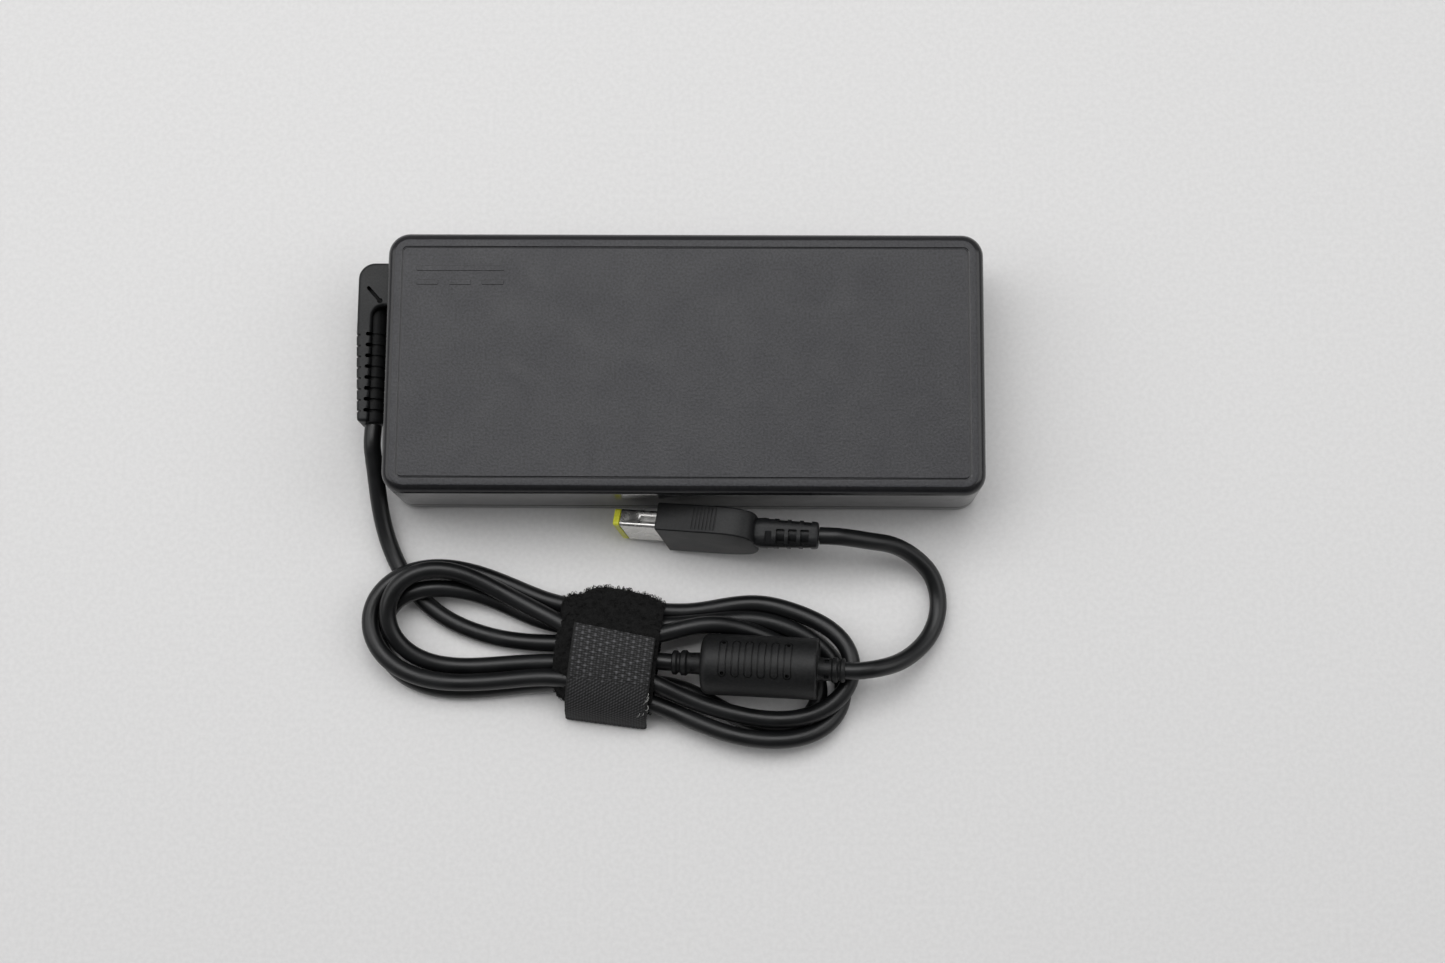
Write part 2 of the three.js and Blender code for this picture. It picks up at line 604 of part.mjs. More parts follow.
// ---------------------------------------------------------------- cord
// Along the floor from the outlet boot to the hank.
const leadRoute = [
  [bootMid + 0.2, BOOT.end - GAP, BOOT.z], [bootMid, BOOT.end - 5, BOOT.z - 0.3],
  [-79.5, -24.7, 9.4], [-79.1, -29.6, 7.3], [-78.6, -34.5, 5.2], [-77.6, -39.4, 3.6],
  [-76.6, -42.4, 2.9], [-75.5, -45, 2.6],
];
add('dc_cord_lead', tube(leadRoute, CORD.radius, CORD.sides, CORD.step), cordJacket);

// From the hank through the bead, over the right loop, round on the floor and up to the plug.
const beadPoint = (x) =>
  new THREE.Vector3(x, 0, 0).applyEuler(bead.rotation).add(bead.position).toArray();
const endRoute = [
  beadPoint(-2.2), beadPoint(6), beadPoint(16), beadPoint(26), beadPoint(36), beadPoint(46),
  [48.6, -75, 12.6], [54.1, -73.2, 9.7], [58.7, -70.1, 6.2], [62.3, -66, 3.7], [64.4, -61, 2.5],
  [64.7, -55.6, 2.4], [62.9, -50.3, 3.7], [58.8, -46.3, 6.4], [53.2, -43.7, 10], [46.8, -43, 13.5],
  beforeEnd.toArray(), cordEnd.toArray(),
];
add('dc_cord_end', tube(endRoute, CORD.radius, CORD.sides, CORD.step), cordJacket);

// ---------------------------------------------------------------- hank
const smoothLoop = (points, Kind) => {
  const curve = new THREE.CatmullRomCurve3(
    points.map(([x, y]) => new THREE.Vector3(x, y, 0)), true, 'centripetal');
  const loop = new Kind();
  const outline = curve.getPoints(points.length * 3).slice(0, -1);
  loop.setFromPoints(outline.map((p) => new THREE.Vector2(p.x, p.y)));
  return loop;
};

function inStrapPlace(geometry) {
  return geometry.rotateZ(STRAP.turn * degrees).translate(STRAP.x, STRAP.y, 0);
}

function hank() {
  const outline = smoothLoop([
    [46, -72.5], [42.5, -63.5], [31, -57.6], [12, -56], [-6, -56.8], [-34, -56.2], [-50, -49],
    [-64, -46.9], [-76, -51.8], [-82.2, -63], [-78.5, -74], [-66, -81.6], [-50, -84], [-34, -84],
    [-6, -84.4], [8, -90.8], [22, -94.4], [35, -92], [43, -84],
  ], THREE.Shape);
  outline.holes.push(smoothLoop([
    [37, -76], [35, -85], [14, -84.8], [0, -81], [-5.6, -74], [0, -66.4], [16, -64.8], [32, -65.8],
  ], THREE.Path));
  outline.holes.push(smoothLoop([
    [-36, -68.5], [-46, -62.8], [-58, -58.4], [-67, -59], [-72.6, -64.5], [-67.6, -70], [-57, -72.4],
    [-46, -72.4],
  ], THREE.Path));
  const body = softSlab(outline, 0.05, HANK_TOP, 1.2, 1, 1);
  const { half, top, thickness, width, corner } = STRAP;
  const reach = width / 2 + GAP;
  const [low, high] = [STRAP_LOW + thickness + GAP, top - thickness - GAP];
  const waist = roundRect(
    2 * (half - thickness - GAP), high - low, corner - thickness - GAP);
  const throat = alongX(slab(waist, -reach - 1, reach + 1, 4)).translate(0, 0, (low + high) / 2);
  const around = cut(block(-reach, -half - 10, -2, reach, half + 10, 20), throat);
  return cut(body, inStrapPlace(around));
}
add('dc_cord_hank', hank(), cordJacket);

// ---------------------------------------------------------------- strap
function strapWrap() {
  const { half, top, thickness, width, corner } = STRAP;
  const height = top - STRAP_LOW;
  const shape = roundRect(2 * half, height, corner);
  shape.holes.push(roundRect(
    2 * (half - thickness), height - 2 * thickness, corner - thickness, THREE.Path));
  return alongX(slab(shape, -width / 2, width / 2, 4)).translate(0, 0, STRAP_LOW + height / 2);
}

// The free end lies down the front of the wrap, outside it, and ends on the floor. Its hinge is
// on the wrap's upper front corner.
function aroundCorner(angle) {
  const { half, top, corner, tailThickness } = STRAP;
  const radius = corner + GAP + tailThickness / 2;
  const turn = angle * degrees;
  return [-half + corner - radius * Math.sin(turn), top - corner + radius * Math.cos(turn)];
}

function strapTail() {
  const { half, tailThickness, tailLeft, tailRight } = STRAP;
  const line = [aroundCorner(36), aroundCorner(60), aroundCorner(84), [-half - 1, 5],
    [-half - 1.4, 2.9], [-half - 2.2, 1.3]];
  const nodes = line.map(([y, z]) => new THREE.Vector3(y, z, 0));
  const curve = new THREE.CatmullRomCurve3(nodes, false, 'centripetal');
  const middle = curve.getPoints(12);
  const side = (sign) => middle.map((p, i) => {
    const t = curve.getTangent(i / 12).multiplyScalar(sign * tailThickness / 2);
    return new THREE.Vector2(p.x - t.y, p.y + t.x);
  });
  const shape = new THREE.Shape([...side(1), ...side(-1).reverse()]);
  return alongX(slab(shape, tailLeft, tailRight));
}

add('strap_wrap', inStrapPlace(strapWrap()), strapCloth);
add('strap_tail', inStrapPlace(strapTail()), strapCloth);

export default part;
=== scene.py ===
"""Laptop power adapter with its DC cord wound into a hank and held by a cloth strap.

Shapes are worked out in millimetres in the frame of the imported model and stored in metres."""
import math

import bmesh
import bpy
import numpy as np
from mathutils import Matrix, Vector


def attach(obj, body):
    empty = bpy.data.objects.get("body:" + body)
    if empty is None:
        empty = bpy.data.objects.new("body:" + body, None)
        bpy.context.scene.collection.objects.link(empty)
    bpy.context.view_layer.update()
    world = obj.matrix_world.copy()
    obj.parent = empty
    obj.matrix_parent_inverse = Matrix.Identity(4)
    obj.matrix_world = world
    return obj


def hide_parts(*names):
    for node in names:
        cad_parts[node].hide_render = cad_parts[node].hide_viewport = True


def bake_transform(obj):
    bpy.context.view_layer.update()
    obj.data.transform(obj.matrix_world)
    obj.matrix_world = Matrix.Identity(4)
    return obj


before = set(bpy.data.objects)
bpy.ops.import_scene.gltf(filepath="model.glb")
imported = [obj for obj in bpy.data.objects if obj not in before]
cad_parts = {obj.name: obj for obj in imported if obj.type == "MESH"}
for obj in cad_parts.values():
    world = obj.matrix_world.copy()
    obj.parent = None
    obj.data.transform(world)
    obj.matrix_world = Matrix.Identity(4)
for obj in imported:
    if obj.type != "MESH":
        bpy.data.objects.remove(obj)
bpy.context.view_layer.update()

MM = 0.001
ADAPTER = "adapter"

# ---- sizes, in millimetres
CASE_X, CASE_Y, CASE_TOP = 75.0, 33.25, 27.0  # half length, half width, height
CASE_CORNER = 5.5  # radius of its corners, seen from above
EDGE = 2.4  # radius of its rims
PARTING_LOW, PARTING_HIGH = 6.35, 6.65
GROOVE_DEPTH = 4.0  # how far in from the wall the groove on top runs
GROOVE_CORNER = 5.2  # keeps the groove's corners open
CORD_RADIUS = 2.2
BEAD_PLACE = (-2.7, -73.4, 8.6)
BEAD_BODY = (7.6, 36.8)
BEAD_RADIUS = 7.7
BEAD_LENGTH = 43.6
BEAD_TWIST = -0.17  # radians that its ribs are turned towards the case
PLUG_PLACE = (-16.9, -37.8, 6.2)
PLUG_REAR = 36.8
PLUG_BOOT_LENGTH = 15.2
STRAP_PLACE = (-19.8, -70.3, 0.0)
STRAP_TURN = -7.0


def turned(place, yaw=0.0, lean=0.0, pitch=0.0):
    """A frame at place, turned by pitch about Y, then lean about X, then yaw about Z."""
    turn = (Matrix.Rotation(math.radians(yaw), 4, "Z")
            @ Matrix.Rotation(math.radians(lean), 4, "X")
            @ Matrix.Rotation(math.radians(pitch), 4, "Y"))
    return Matrix.Translation(place) @ turn


HERE = Matrix.Identity(4)
UPRIGHT = Matrix(((1, 0, 0, 0), (0, 0, 1, 0), (0, 1, 0, 0), (0, 0, 0, 1)))
ALONG_X = Matrix(((0, 0, 1, 0), (1, 0, 0, 0), (0, 1, 0, 0), (0, 0, 0, 1)))
BEAD = turned(BEAD_PLACE, yaw=-2.9, pitch=-6.0)
PLUG = turned(PLUG_PLACE, yaw=-8.0, lean=-10.5, pitch=-13.5)
PLUG_BOOT = turned(PLUG @ Vector((PLUG_REAR, 0, 0)), yaw=-3.0, pitch=-4.0)
STRAP = turned(STRAP_PLACE, yaw=STRAP_TURN)


def show(obj):
    """Puts an object into the scene."""
    bpy.context.scene.collection.objects.link(obj)
    return obj


# ---- camera
CAMERA_LENS = 52.32
CAMERA_PLACE = (0.01880, -0.11475, 0.53813)
CAMERA_TURN = (9.389, 1.003, 0.424)  # degrees

camera_data = bpy.data.cameras.new("camera")
camera_data.sensor_width = 36.0
camera_data.lens = CAMERA_LENS
camera_data.clip_start = 0.01
camera = show(bpy.data.objects.new("camera", camera_data))
camera.rotation_mode = "ZXY"
camera.location = CAMERA_PLACE
camera.rotation_euler = [math.radians(angle) for angle in CAMERA_TURN]
bpy.context.scene.camera = camera

# ---- cord route
# Down from the outlet boot to the floor, under the hank's left end.
LEAD = [
    (-79.8, -13.7, 12), (-80, -18.4, 11.8), (-79.5, -24.7, 9.2), (-79, -29.6, 7.3),
    (-78.5, -34.5, 5.2), (-77.6, -39.4, 3.5), (-76.6, -42.4, 2.9), (-75.5, -45, 2.5),
    (-74, -47.8, 2.3), (-72.4, -50.9, 2.3), (-70, -54.8, 2.3), (-62.6, -61.2, 2.2),
    (-52.4, -65.7, 2.2), (-42.1, -67.9, 2.2), (-26.7, -67.9, 2.4), (-13.1, -67, 7.6),
]
# Three turns, each by way of the right end and then the left one.
TURN_1 = [
    (-5.9, -66.4, 9.3), (11.7, -63.6, 7.2), (18.3, -64.8, 4.9), (24.9, -68, 2.7),
    (31.2, -72.4, 2.2), (34.5, -77.3, 2.2), (34.6, -82.3, 2.2), (32.1, -86.6, 2.2),
    (27.8, -89.2, 2.2), (21.5, -89.3, 2.2), (12.6, -86.2, 2.2), (4.1, -81.8, 2.2),
    (-6.1, -78, 2.2), (-21.4, -77.9, 2.2), (-32.7, -77.9, 2.2),
    (-53.3, -80.1, 2.2), (-64.8, -79.5, 2.2), (-73.7, -75.1, 2.2), (-78, -67.4, 2.3),
    (-77.8, -63.1, 2.8), (-72.9, -57.2, 5.8), (-65.4, -55, 6.7), (-54.3, -55.6, 3.9),
    (-42.8, -59.8, 2.3), (-33, -63.8, 2.2), (-20.3, -63.9, 3.8),
]
TURN_2 = [
    (-6.1, -63.5, 5.9), (14.2, -62.8, 5.2), (26.9, -64.7, 3.1), (35.6, -69.1, 2.2),
    (40, -75.4, 2.2), (39.9, -84.4, 2.4), (36.1, -89, 3.7), (31.3, -91.4, 4.9),
    (23.2, -92.6, 5.8), (11.1, -91.1, 5.7), (-5, -84.7, 5.2), (-26.2, -78, 6.2),
    (-52.8, -78.6, 6.2), (-63.9, -78.2, 6.2), (-74.1, -74, 6), (-79.5, -66.5, 6),
    (-79, -58.4, 6.3), (-71.4, -51.2, 6.7), (-61.9, -49.3, 5.5), (-48.3, -52.2, 3.1),
    (-32.8, -58.2, 2.2), (-12, -60.9, 2.2),
]
TURN_3 = [
    (3.9, -60.3, 2.2), (19.3, -59.4, 2.4), (33.7, -62.5, 4.7), (39.9, -66.9, 6.3),
    (42.8, -72.7, 6.8), (42.2, -78.2, 6.8), (38, -83.3, 6.7), (29.5, -87.1, 6.3),
    (14.3, -86.5, 6), (-7, -79.1, 6), (-20.1, -74.9, 3.6), (-32.8, -73.2, 2.4),
    (-61.3, -74, 2.8), (-69.8, -71.1, 5.4), (-73, -68.4, 6.8), (-75, -64.8, 7.6),
    (-75, -58.1, 8.9), (-70.6, -52.4, 10.8), (-61.9, -50.3, 10.2), (-52.5, -53, 8.2),
    (-37.6, -60.5, 6.7), (-26.4, -66, 6.9), (-20.5, -69.3, 7.1), (-14.1, -72, 7.6),
]
BEAD_STOPS = (-2.2, 0, 6, 12, 18, 24, 30, 36, 43.6, 46)
# Over the right loop, round on the floor and up to the plug.
ARC = [
    (48.6, -75, 12.6), (54.1, -73.2, 9.7), (58.7, -70.1, 6.2), (62.3, -66, 3.7),
    (64.4, -61, 2.5), (64.7, -55.6, 2.4), (62.9, -50.3, 3.7), (58.8, -46.3, 6.4),
    (53.2, -43.7, 10), (46.8, -43, 13.5),
]
PLUG_STOPS = (PLUG_BOOT_LENGTH + 5, PLUG_BOOT_LENGTH + 0.3)
SETTLE_STEP = 2.2  # spacing of the points while strands are pushed apart
SETTLE_ROUNDS = 400
REFRESH = 8  # rounds between searches for strands that are close
NEAR = 1.2  # how much further than contact such a search looks
NEIGHBOURS = 6  # points along the cord that may not push each other
CLEARANCE = 0.08
NECK_RADIUS = 3.2  # of the bead's ringed necks
LINE_STEP = 1.1
STRAP_LIFT = 1.2  # thickness of cloth under the hank
LIFT_END, LIFT_RAMP = 24.0, 12.0  # where that lift ends, and the length it takes


def unit(vectors):
    """Rows of vectors made one long."""
    return vectors / np.linalg.norm(vectors, axis=1)[:, None]


def evenly(line, step):
    """The same line through points a step apart."""
    lengths = np.linalg.norm(np.diff(line, axis=0), axis=1)
    along = np.concatenate([[0], np.cumsum(lengths)])
    wanted = np.linspace(0, along[-1], round(along[-1] / step) + 1)
    return np.stack([np.interp(wanted, along, line[:, k]) for k in range(line.shape[1])], -1)


def smooth_line(points, step):
    """A centripetal Catmull-Rom curve through the points, evenly spaced."""
    p = np.asarray(points, float)
    p = np.vstack([2 * p[0] - p[1], p, 2 * p[-1] - p[-2]])
    pieces = []
    for p0, p1, p2, p3 in zip(p[:-3], p[1:-2], p[2:-1], p[3:]):
        t0 = 0.0
        t1 = t0 + np.linalg.norm(p1 - p0) ** 0.5
        t2 = t1 + np.linalg.norm(p2 - p1) ** 0.5
        t3 = t2 + np.linalg.norm(p3 - p2) ** 0.5
        t = np.linspace(t1, t2, 16, endpoint=False)[:, None]
        a1 = ((t1 - t) * p0 + (t - t0) * p1) / (t1 - t0)
        a2 = ((t2 - t) * p1 + (t - t1) * p2) / (t2 - t1)
        a3 = ((t3 - t) * p2 + (t - t2) * p3) / (t3 - t2)
        b1 = ((t2 - t) * a1 + (t - t0) * a2) / (t2 - t0)
        b2 = ((t3 - t) * a2 + (t - t1) * a3) / (t3 - t1)
        pieces.append(((t2 - t) * b1 + (t - t1) * b2) / (t2 - t1))
    return evenly(np.vstack(pieces + [p[-2:-1]]), step)


def floor_under(line):
    """Lowest height of the cord's centre: on the floor, or on the cloth inside the strap."""
    away = np.abs((line[:, :2] - STRAP_PLACE[:2])
                  @ [math.cos(math.radians(STRAP_TURN)), math.sin(math.radians(STRAP_TURN))])
    rise = np.clip((LIFT_END - away) / LIFT_RAMP, 0, 1)
    return CORD_RADIUS + STRAP_LIFT * rise * rise * (3 - 2 * rise)


def settle(line, held, radius):
    """Pushes strands that meet apart, keeps the cord's bends smooth and the cord on the floor."""
    p = line.copy()
    free = np.where(held, 0.0, 1.0)[:, None]
    lowest = floor_under(line)
    for k in range(SETTLE_ROUNDS):
        pull = 0.05 * max(0.0, 1 - k / (0.75 * SETTLE_ROUNDS))
        if k % REFRESH == 0:
            apart = np.linalg.norm(p[:, None] - p[None], axis=2)
            reach = radius[:, None] + radius[None] + CLEARANCE
            i, j = np.nonzero(np.triu(apart < reach + NEAR, NEIGHBOURS))
            reach = reach[i, j]
        gap = p[i] - p[j]
        apart = np.linalg.norm(gap, axis=1)
        push = 0.35 * np.maximum(reach - apart, 0)[:, None] * gap / apart[:, None]
        move = np.zeros_like(p)
        np.add.at(move, i, push)
        np.add.at(move, j, -push)
        p += free * (move + pull * (line - p))
        bend = p[:-4] - 4 * p[1:-3] + 6 * p[2:-2] - 4 * p[3:-1] + p[4:]
        p[2:-2] -= free[2:-2] * 0.08 * bend
        p[:, 2] = np.where(held, p[:, 2], np.maximum(p[:, 2], lowest))
    return p


def cord_line():
    """The whole centreline, in millimetres, from the outlet boot to the plug's boot."""
    bead = [tuple(BEAD @ Vector((x, 0, 0))) for x in BEAD_STOPS]
    plug = [tuple(PLUG_BOOT @ Vector((x, 0, 0))) for x in PLUG_STOPS]
    points = LEAD + TURN_1 + TURN_2 + TURN_3 + bead + ARC + plug
    line = smooth_line(points, SETTLE_STEP)
    held = np.zeros(len(line), bool)
    held[:6] = True
    held[np.linalg.norm(line - bead[0], axis=1).argmin():] = True
    radius = np.full(len(line), CORD_RADIUS)
    inward = np.array(BEAD.inverted()) @ np.c_[line, np.ones(len(line))].T
    near = np.hypot(inward[1], inward[2]) < 0.5
    radius[near & (inward[0] > 0) & (inward[0] < BEAD_LENGTH)] = NECK_RADIUS
    radius[near & (inward[0] > BEAD_BODY[0]) & (inward[0] < BEAD_BODY[1])] = BEAD_RADIUS
    radius[~held] = CORD_RADIUS
    return smooth_line(settle(line, held, radius), LINE_STEP)


def cord_curve(line):
    """The round cord along its centreline."""
    curve = bpy.data.curves.new("dc_cord", "CURVE")
    curve.dimensions = "3D"
    curve.bevel_depth = CORD_RADIUS * MM
    curve.bevel_resolution = 8
    curve.use_fill_caps = True
    spline = curve.splines.new("POLY")
    spline.points.add(len(line) - 1)
    spline.points.foreach_set("co", np.c_[line * MM, np.ones(len(line))].ravel())
    spline.use_smooth = True
    return show(bpy.data.objects.new("dc_cord", curve))


centreline = cord_line()
cord = cord_curve(centreline)


# ---- mesh tools
def skin(rings, closed=False):
    """A mesh over rings of equally many points, with an end face at each end unless closed."""
    mesh = bmesh.new()
    rows = [[mesh.verts.new(point) for point in ring] for ring in rings]
    follow = rows[1:] + rows[:1] if closed else rows[1:]
    for a, b in zip(rows, follow):
        for k in range(len(a)):
            after = (k + 1) % len(a)
            mesh.faces.new((a[k], a[after], b[after], b[k]))
    if not closed:
        mesh.faces.new(rows[0][::-1])
        mesh.faces.new(rows[-1])
    bmesh.ops.recalc_face_normals(mesh, faces=mesh.faces)
    return mesh


def merge(*meshes):
    """Several meshes in one, as loose parts."""
    whole = bmesh.new()
    for mesh in meshes:
        carrier = bpy.data.meshes.new("part")
        mesh.to_mesh(carrier)
        mesh.free()
        whole.from_mesh(carrier)
        bpy.data.meshes.remove(carrier)
    return whole


def solid(name, mesh):
    """An object in the scene that holds the mesh."""
    data = bpy.data.meshes.new(name)
    mesh.to_mesh(data)
    mesh.free()
    return show(bpy.data.objects.new(name, data))


def bake(obj):
    """Applies the modifiers."""
    graph = bpy.context.evaluated_depsgraph_get()
    graph.update()
    mesh = bpy.data.meshes.new_from_object(obj.evaluated_get(graph))
    obj.modifiers.clear()
    old = obj.data
    obj.data = mesh
    bpy.data.meshes.remove(old)
    mesh.name = obj.name


def combine(obj, mesh, operation):
    """Cuts a mesh out of an object, or joins it on."""
    tool = solid("tool", mesh)
    modifier = obj.modifiers.new("combine", "BOOLEAN")
    modifier.operation = operation
    modifier.solver = "EXACT"
    modifier.use_self = True
    modifier.object = tool
    bake(obj)
    data = tool.data
    bpy.data.objects.remove(tool)
    bpy.data.meshes.remove(data)


def cut(obj, *meshes):
    combine(obj, merge(*meshes), "DIFFERENCE")


def join(obj, *meshes):
    combine(obj, merge(*meshes), "UNION")


def soften(obj, width, segments=2, angle=38):
    """Bevels the edges sharper than an angle."""
    modifier = obj.modifiers.new("edge", "BEVEL")
    modifier.width = width
    modifier.segments = segments
    modifier.limit_method = "ANGLE"
    modifier.angle_limit = math.radians(angle)
    bake(obj)


def finish_shape(obj, place=HERE, sharp=32, even=True):
    """Puts a shape in its place, in metres, and shades it smooth between its sharp edges."""
    obj.data.transform(Matrix.Scale(MM, 4) @ place)
    obj.data.shade_smooth()
    obj.data.set_sharp_from_angle(angle=math.radians(sharp))
    if even:
        weigh = obj.modifiers.new("normals", "WEIGHTED_NORMAL")
        weigh.keep_sharp = True
        bake(obj)
    return obj


def rounded_rect(half_x, half_y, radius, steps, centre=(0.0, 0.0)):
    """Points of a rounded rectangle, anticlockwise."""
    points = []
    for sx, sy, start in ((1, -1, -90), (1, 1, 0), (-1, 1, 90), (-1, -1, 180)):
        for k in range(steps + 1):
            angle = math.radians(start + 90 * k / steps)
            points.append((centre[0] + sx * (half_x - radius) + radius * math.cos(angle),
                           centre[1] + sy * (half_y - radius) + radius * math.sin(angle)))
    return points


def arc(centre, radius, start, end, count):
    """Points of an arc between two angles in degrees."""
    return [(centre[0] + radius * math.cos(a), centre[1] + radius * math.sin(a))
            for a in np.radians(np.linspace(start, end, count))]


def round_angles(sides):
    return [2 * math.pi * k / sides for k in range(sides)]


def inset(outline, distance):
    """The outline moved inward, for an anticlockwise outline."""
    p = np.asarray(outline, float)
    ahead = unit(np.roll(p, -1, 0) - p)
    behind = np.roll(ahead, 1, 0)
    inward = np.stack([-(ahead + behind)[:, 1], (ahead + behind)[:, 0]], -1)
    inward *= 2 / np.maximum((inward ** 2).sum(1), 1e-6)[:, None]
    return p + distance * inward


def level(outline, z):
    """An outline as a ring at a height."""
    return [(x, y, z) for x, y in outline]


def prism(outline, z0, z1):
    return skin([level(outline, z0), level(outline, z1)])


def soft_prism(outline, z0, z1, edge, steps):
    """A prism whose upper and lower rims are rounded."""
    turn = [math.radians(90 * k / steps) for k in range(steps + 1)]
    low = [(edge * (1 - math.sin(a)), z0 + edge * (1 - math.cos(a))) for a in turn]
    high = [(edge * (1 - math.sin(a)), z1 - edge * (1 - math.cos(a))) for a in reversed(turn)]
    return skin([level(inset(outline, d), z) for d, z in low + high])


def block(low, high):
    """A block between two corners, for cutting."""
    (x0, y0, z0), (x1, y1, z1) = low, high
    return prism([(x0, y0), (x1, y0), (x1, y1), (x0, y1)], z0, z1)


def moved(mesh, matrix):
    """The mesh in another place, turned the right way out if the place mirrors it."""
    bmesh.ops.transform(mesh, matrix=matrix, verts=mesh.verts)
    if matrix.determinant() < 0:
        bmesh.ops.reverse_faces(mesh, faces=mesh.faces)
    return mesh


def bar(half_y, half_z, radius, steps, x0, x1, centre=(0.0, 0.0)):
    """A bar along X with rounded corners."""
    return moved(prism(rounded_rect(half_y, half_z, radius, steps, centre), x0, x1), ALONG_X)


def lathe(profile, sides):
    """A solid of revolution about X from (x, radius) pairs."""
    return skin([[(x, radius * math.cos(a), radius * math.sin(a)) for a in round_angles(sides)]
                 for x, radius in profile])


def tube(points, radius, sides, taper=1.0):
    """A thin closed tube along points."""
    p = np.asarray(points, float)
    heading = unit(np.gradient(p, axis=0))
    side = unit(np.cross(heading, (0.31, 0.52, 0.79)))
    other = np.cross(heading, side)
    rings = []
    for k, (centre, u, v) in enumerate(zip(p, side, other)):
        r = radius * (1 + (taper - 1) * k / (len(p) - 1))
        rings.append([centre + r * (math.cos(a) * u + math.sin(a) * v)
                      for a in round_angles(sides)])
    return skin(rings)


# ---- materials
def add_node(tree, kind, inputs, **settings):
    """A node with its settings, and its inputs fed from sockets or set to plain values."""
    node = tree.nodes.new(kind)
    for key, value in settings.items():
        setattr(node, key, value)
    for key, value in inputs.items():
        if isinstance(value, bpy.types.NodeSocket):
            tree.links.new(value, node.inputs[key])
        else:
            node.inputs[key].default_value = value
    return node


def map_range(tree, value, start, end, low, high):
    """A value spread from one range, start to end, over another, low to high."""
    inputs = {"Value": value, "From Min": start, "From Max": end, "To Min": low, "To Max": high}
    return add_node(tree, "ShaderNodeMapRange", inputs).outputs["Result"]


class Finish:
    """A Principled material whose colour, roughness and relief come from procedural nodes."""

    def __init__(self, name, roughness, metallic=0.0, specular=0.5):
        self.material = bpy.data.materials.new(name)
        self.material.use_nodes = True
        self.tree = self.material.node_tree
        self.shader = self.tree.nodes["Principled BSDF"]
        self.shader.inputs["Roughness"].default_value = roughness
        self.shader.inputs["Metallic"].default_value = metallic
        self.shader.inputs["Specular IOR Level"].default_value = specular
        self.where = self.tree.nodes.new("ShaderNodeTexCoord").outputs["Object"]
        self.relief = None

    def node(self, kind, inputs, **settings):
        return add_node(self.tree, kind, inputs, **settings)

    def noise(self, size, detail=2.0, stretch=(1, 1, 1), distortion=0.0):
        """Noise whose features are about size millimetres."""
        scale = [share / (size * MM) for share in stretch]
        place = self.node("ShaderNodeMapping", {"Vector": self.where, "Scale": scale})
        inputs = {"Vector": place.outputs["Vector"], "Scale": 1.0, "Detail": detail,
                  "Distortion": distortion}
        return self.node("ShaderNodeTexNoise", inputs).outputs["Fac"]

    def ramp(self, value, low, high, start=0.35, end=0.65):
        ramp = self.node("ShaderNodeValToRGB", {"Fac": value})
        for stop, position, colour in zip(ramp.color_ramp.elements, (start, end), (low, high)):
            stop.position = position
            stop.color = (*colour, 1)
        return ramp.outputs["Color"]

    def spread(self, value, low, high, start=0.3, end=0.7):
        return map_range(self.tree, value, start, end, low, high)

    def mix(self, first, second, factor):
        """Two colour sockets mixed; the factor is a socket or a number."""
        inputs = {0: factor, 6: first, 7: second}
        return self.node("ShaderNodeMix", inputs, data_type="RGBA").outputs[2]

    def feed(self, source, name):
        self.tree.links.new(source, self.shader.inputs[name])

    def colour(self, source):
        self.feed(source, "Base Color")

    def rough(self, source):
        self.feed(source, "Roughness")

    def bump(self, height, depth, strength=1.0):
        """Relief of a depth in millimetres, over any relief that is there already."""
        inputs = {"Height": height, "Strength": strength, "Distance": depth * MM}
        if self.relief is not None:
            inputs["Normal"] = self.relief
        self.relief = self.node("ShaderNodeBump", inputs).outputs["Normal"]
        self.feed(self.relief, "Normal")

    def grained(self, fine, broad, low, high, share, gloss, depth):
        """Colour and relief from fine noise, with a share of broad mottling and uneven gloss."""
        self.colour(self.mix(self.ramp(fine, low, high), self.ramp(broad, low, high), share))
        self.rough(self.spread(broad, *gloss))
        self.bump(fine, depth)


def moulded(name, low, high, roughness, grain, depth, specular=0.5):
    """Moulded plastic or rubber: a fine spark-eroded grain, slight mottling and worn gloss."""
    finish = Finish(name, roughness, specular=specular)
    finish.grained(
        finish.noise(grain, 3.0), finish.noise(9.0, 3.0, distortion=0.6), low, high, 0.12,
        (roughness - 0.03, roughness + 0.04), depth)
    return finish


def scuffed_metal(name, low, high, roughness, stretch):
    """Plated metal with a fine brushed streak and an uneven gloss."""
    finish = Finish(name, roughness, 1.0)
    brushed = finish.noise(0.35, 4.0, stretch)
    finish.colour(finish.ramp(brushed, low, high, 0.25, 0.75))
    finish.rough(finish.spread(finish.noise(3.0, 4.0), roughness - 0.06, roughness + 0.12))
    finish.bump(brushed, 0.0008, 0.3)
    return finish


def grey(value):
    return (value,) * 3


case_finish = moulded(
    "case_plastic", (0.006, 0.006, 0.008), (0.026, 0.026, 0.031), 0.46, 0.6, 0.08, 0.47)
wall_finish = moulded(
    "case_plastic_walls", (0.006, 0.006, 0.007), (0.012, 0.012, 0.013), 0.20, 0.6, 0.012, 0.47)
boot_finish = moulded(
    "boot_rubber", (0.005, 0.0055, 0.006), (0.013, 0.0135, 0.014), 0.46, 0.5, 0.03, 0.30)
# Painted shade: a darker, duller copy of the boot's rubber, for faces in its slot and windows and
# on its flank beside the case.
boot_shade_finish = moulded(
    "boot_painted_shade", (0.003, 0.0032, 0.0034), (0.007, 0.0074, 0.0078), 0.6, 0.5, 0.03, 0.22)
plug_finish = moulded(
    "plug_plastic", (0.004, 0.0043, 0.0046), (0.010, 0.0104, 0.0108), 0.42, 0.45, 0.02, 0.28)
bead_finish = moulded(
    "bead_rubber", (0.003, 0.0032, 0.0034), (0.009, 0.0093, 0.0096), 0.50, 0.5, 0.035, 0.32)
nose_finish = moulded(
    "nose_plastic", (0.70, 0.71, 0.04), (0.86, 0.86, 0.08), 0.36, 0.4, 0.008)
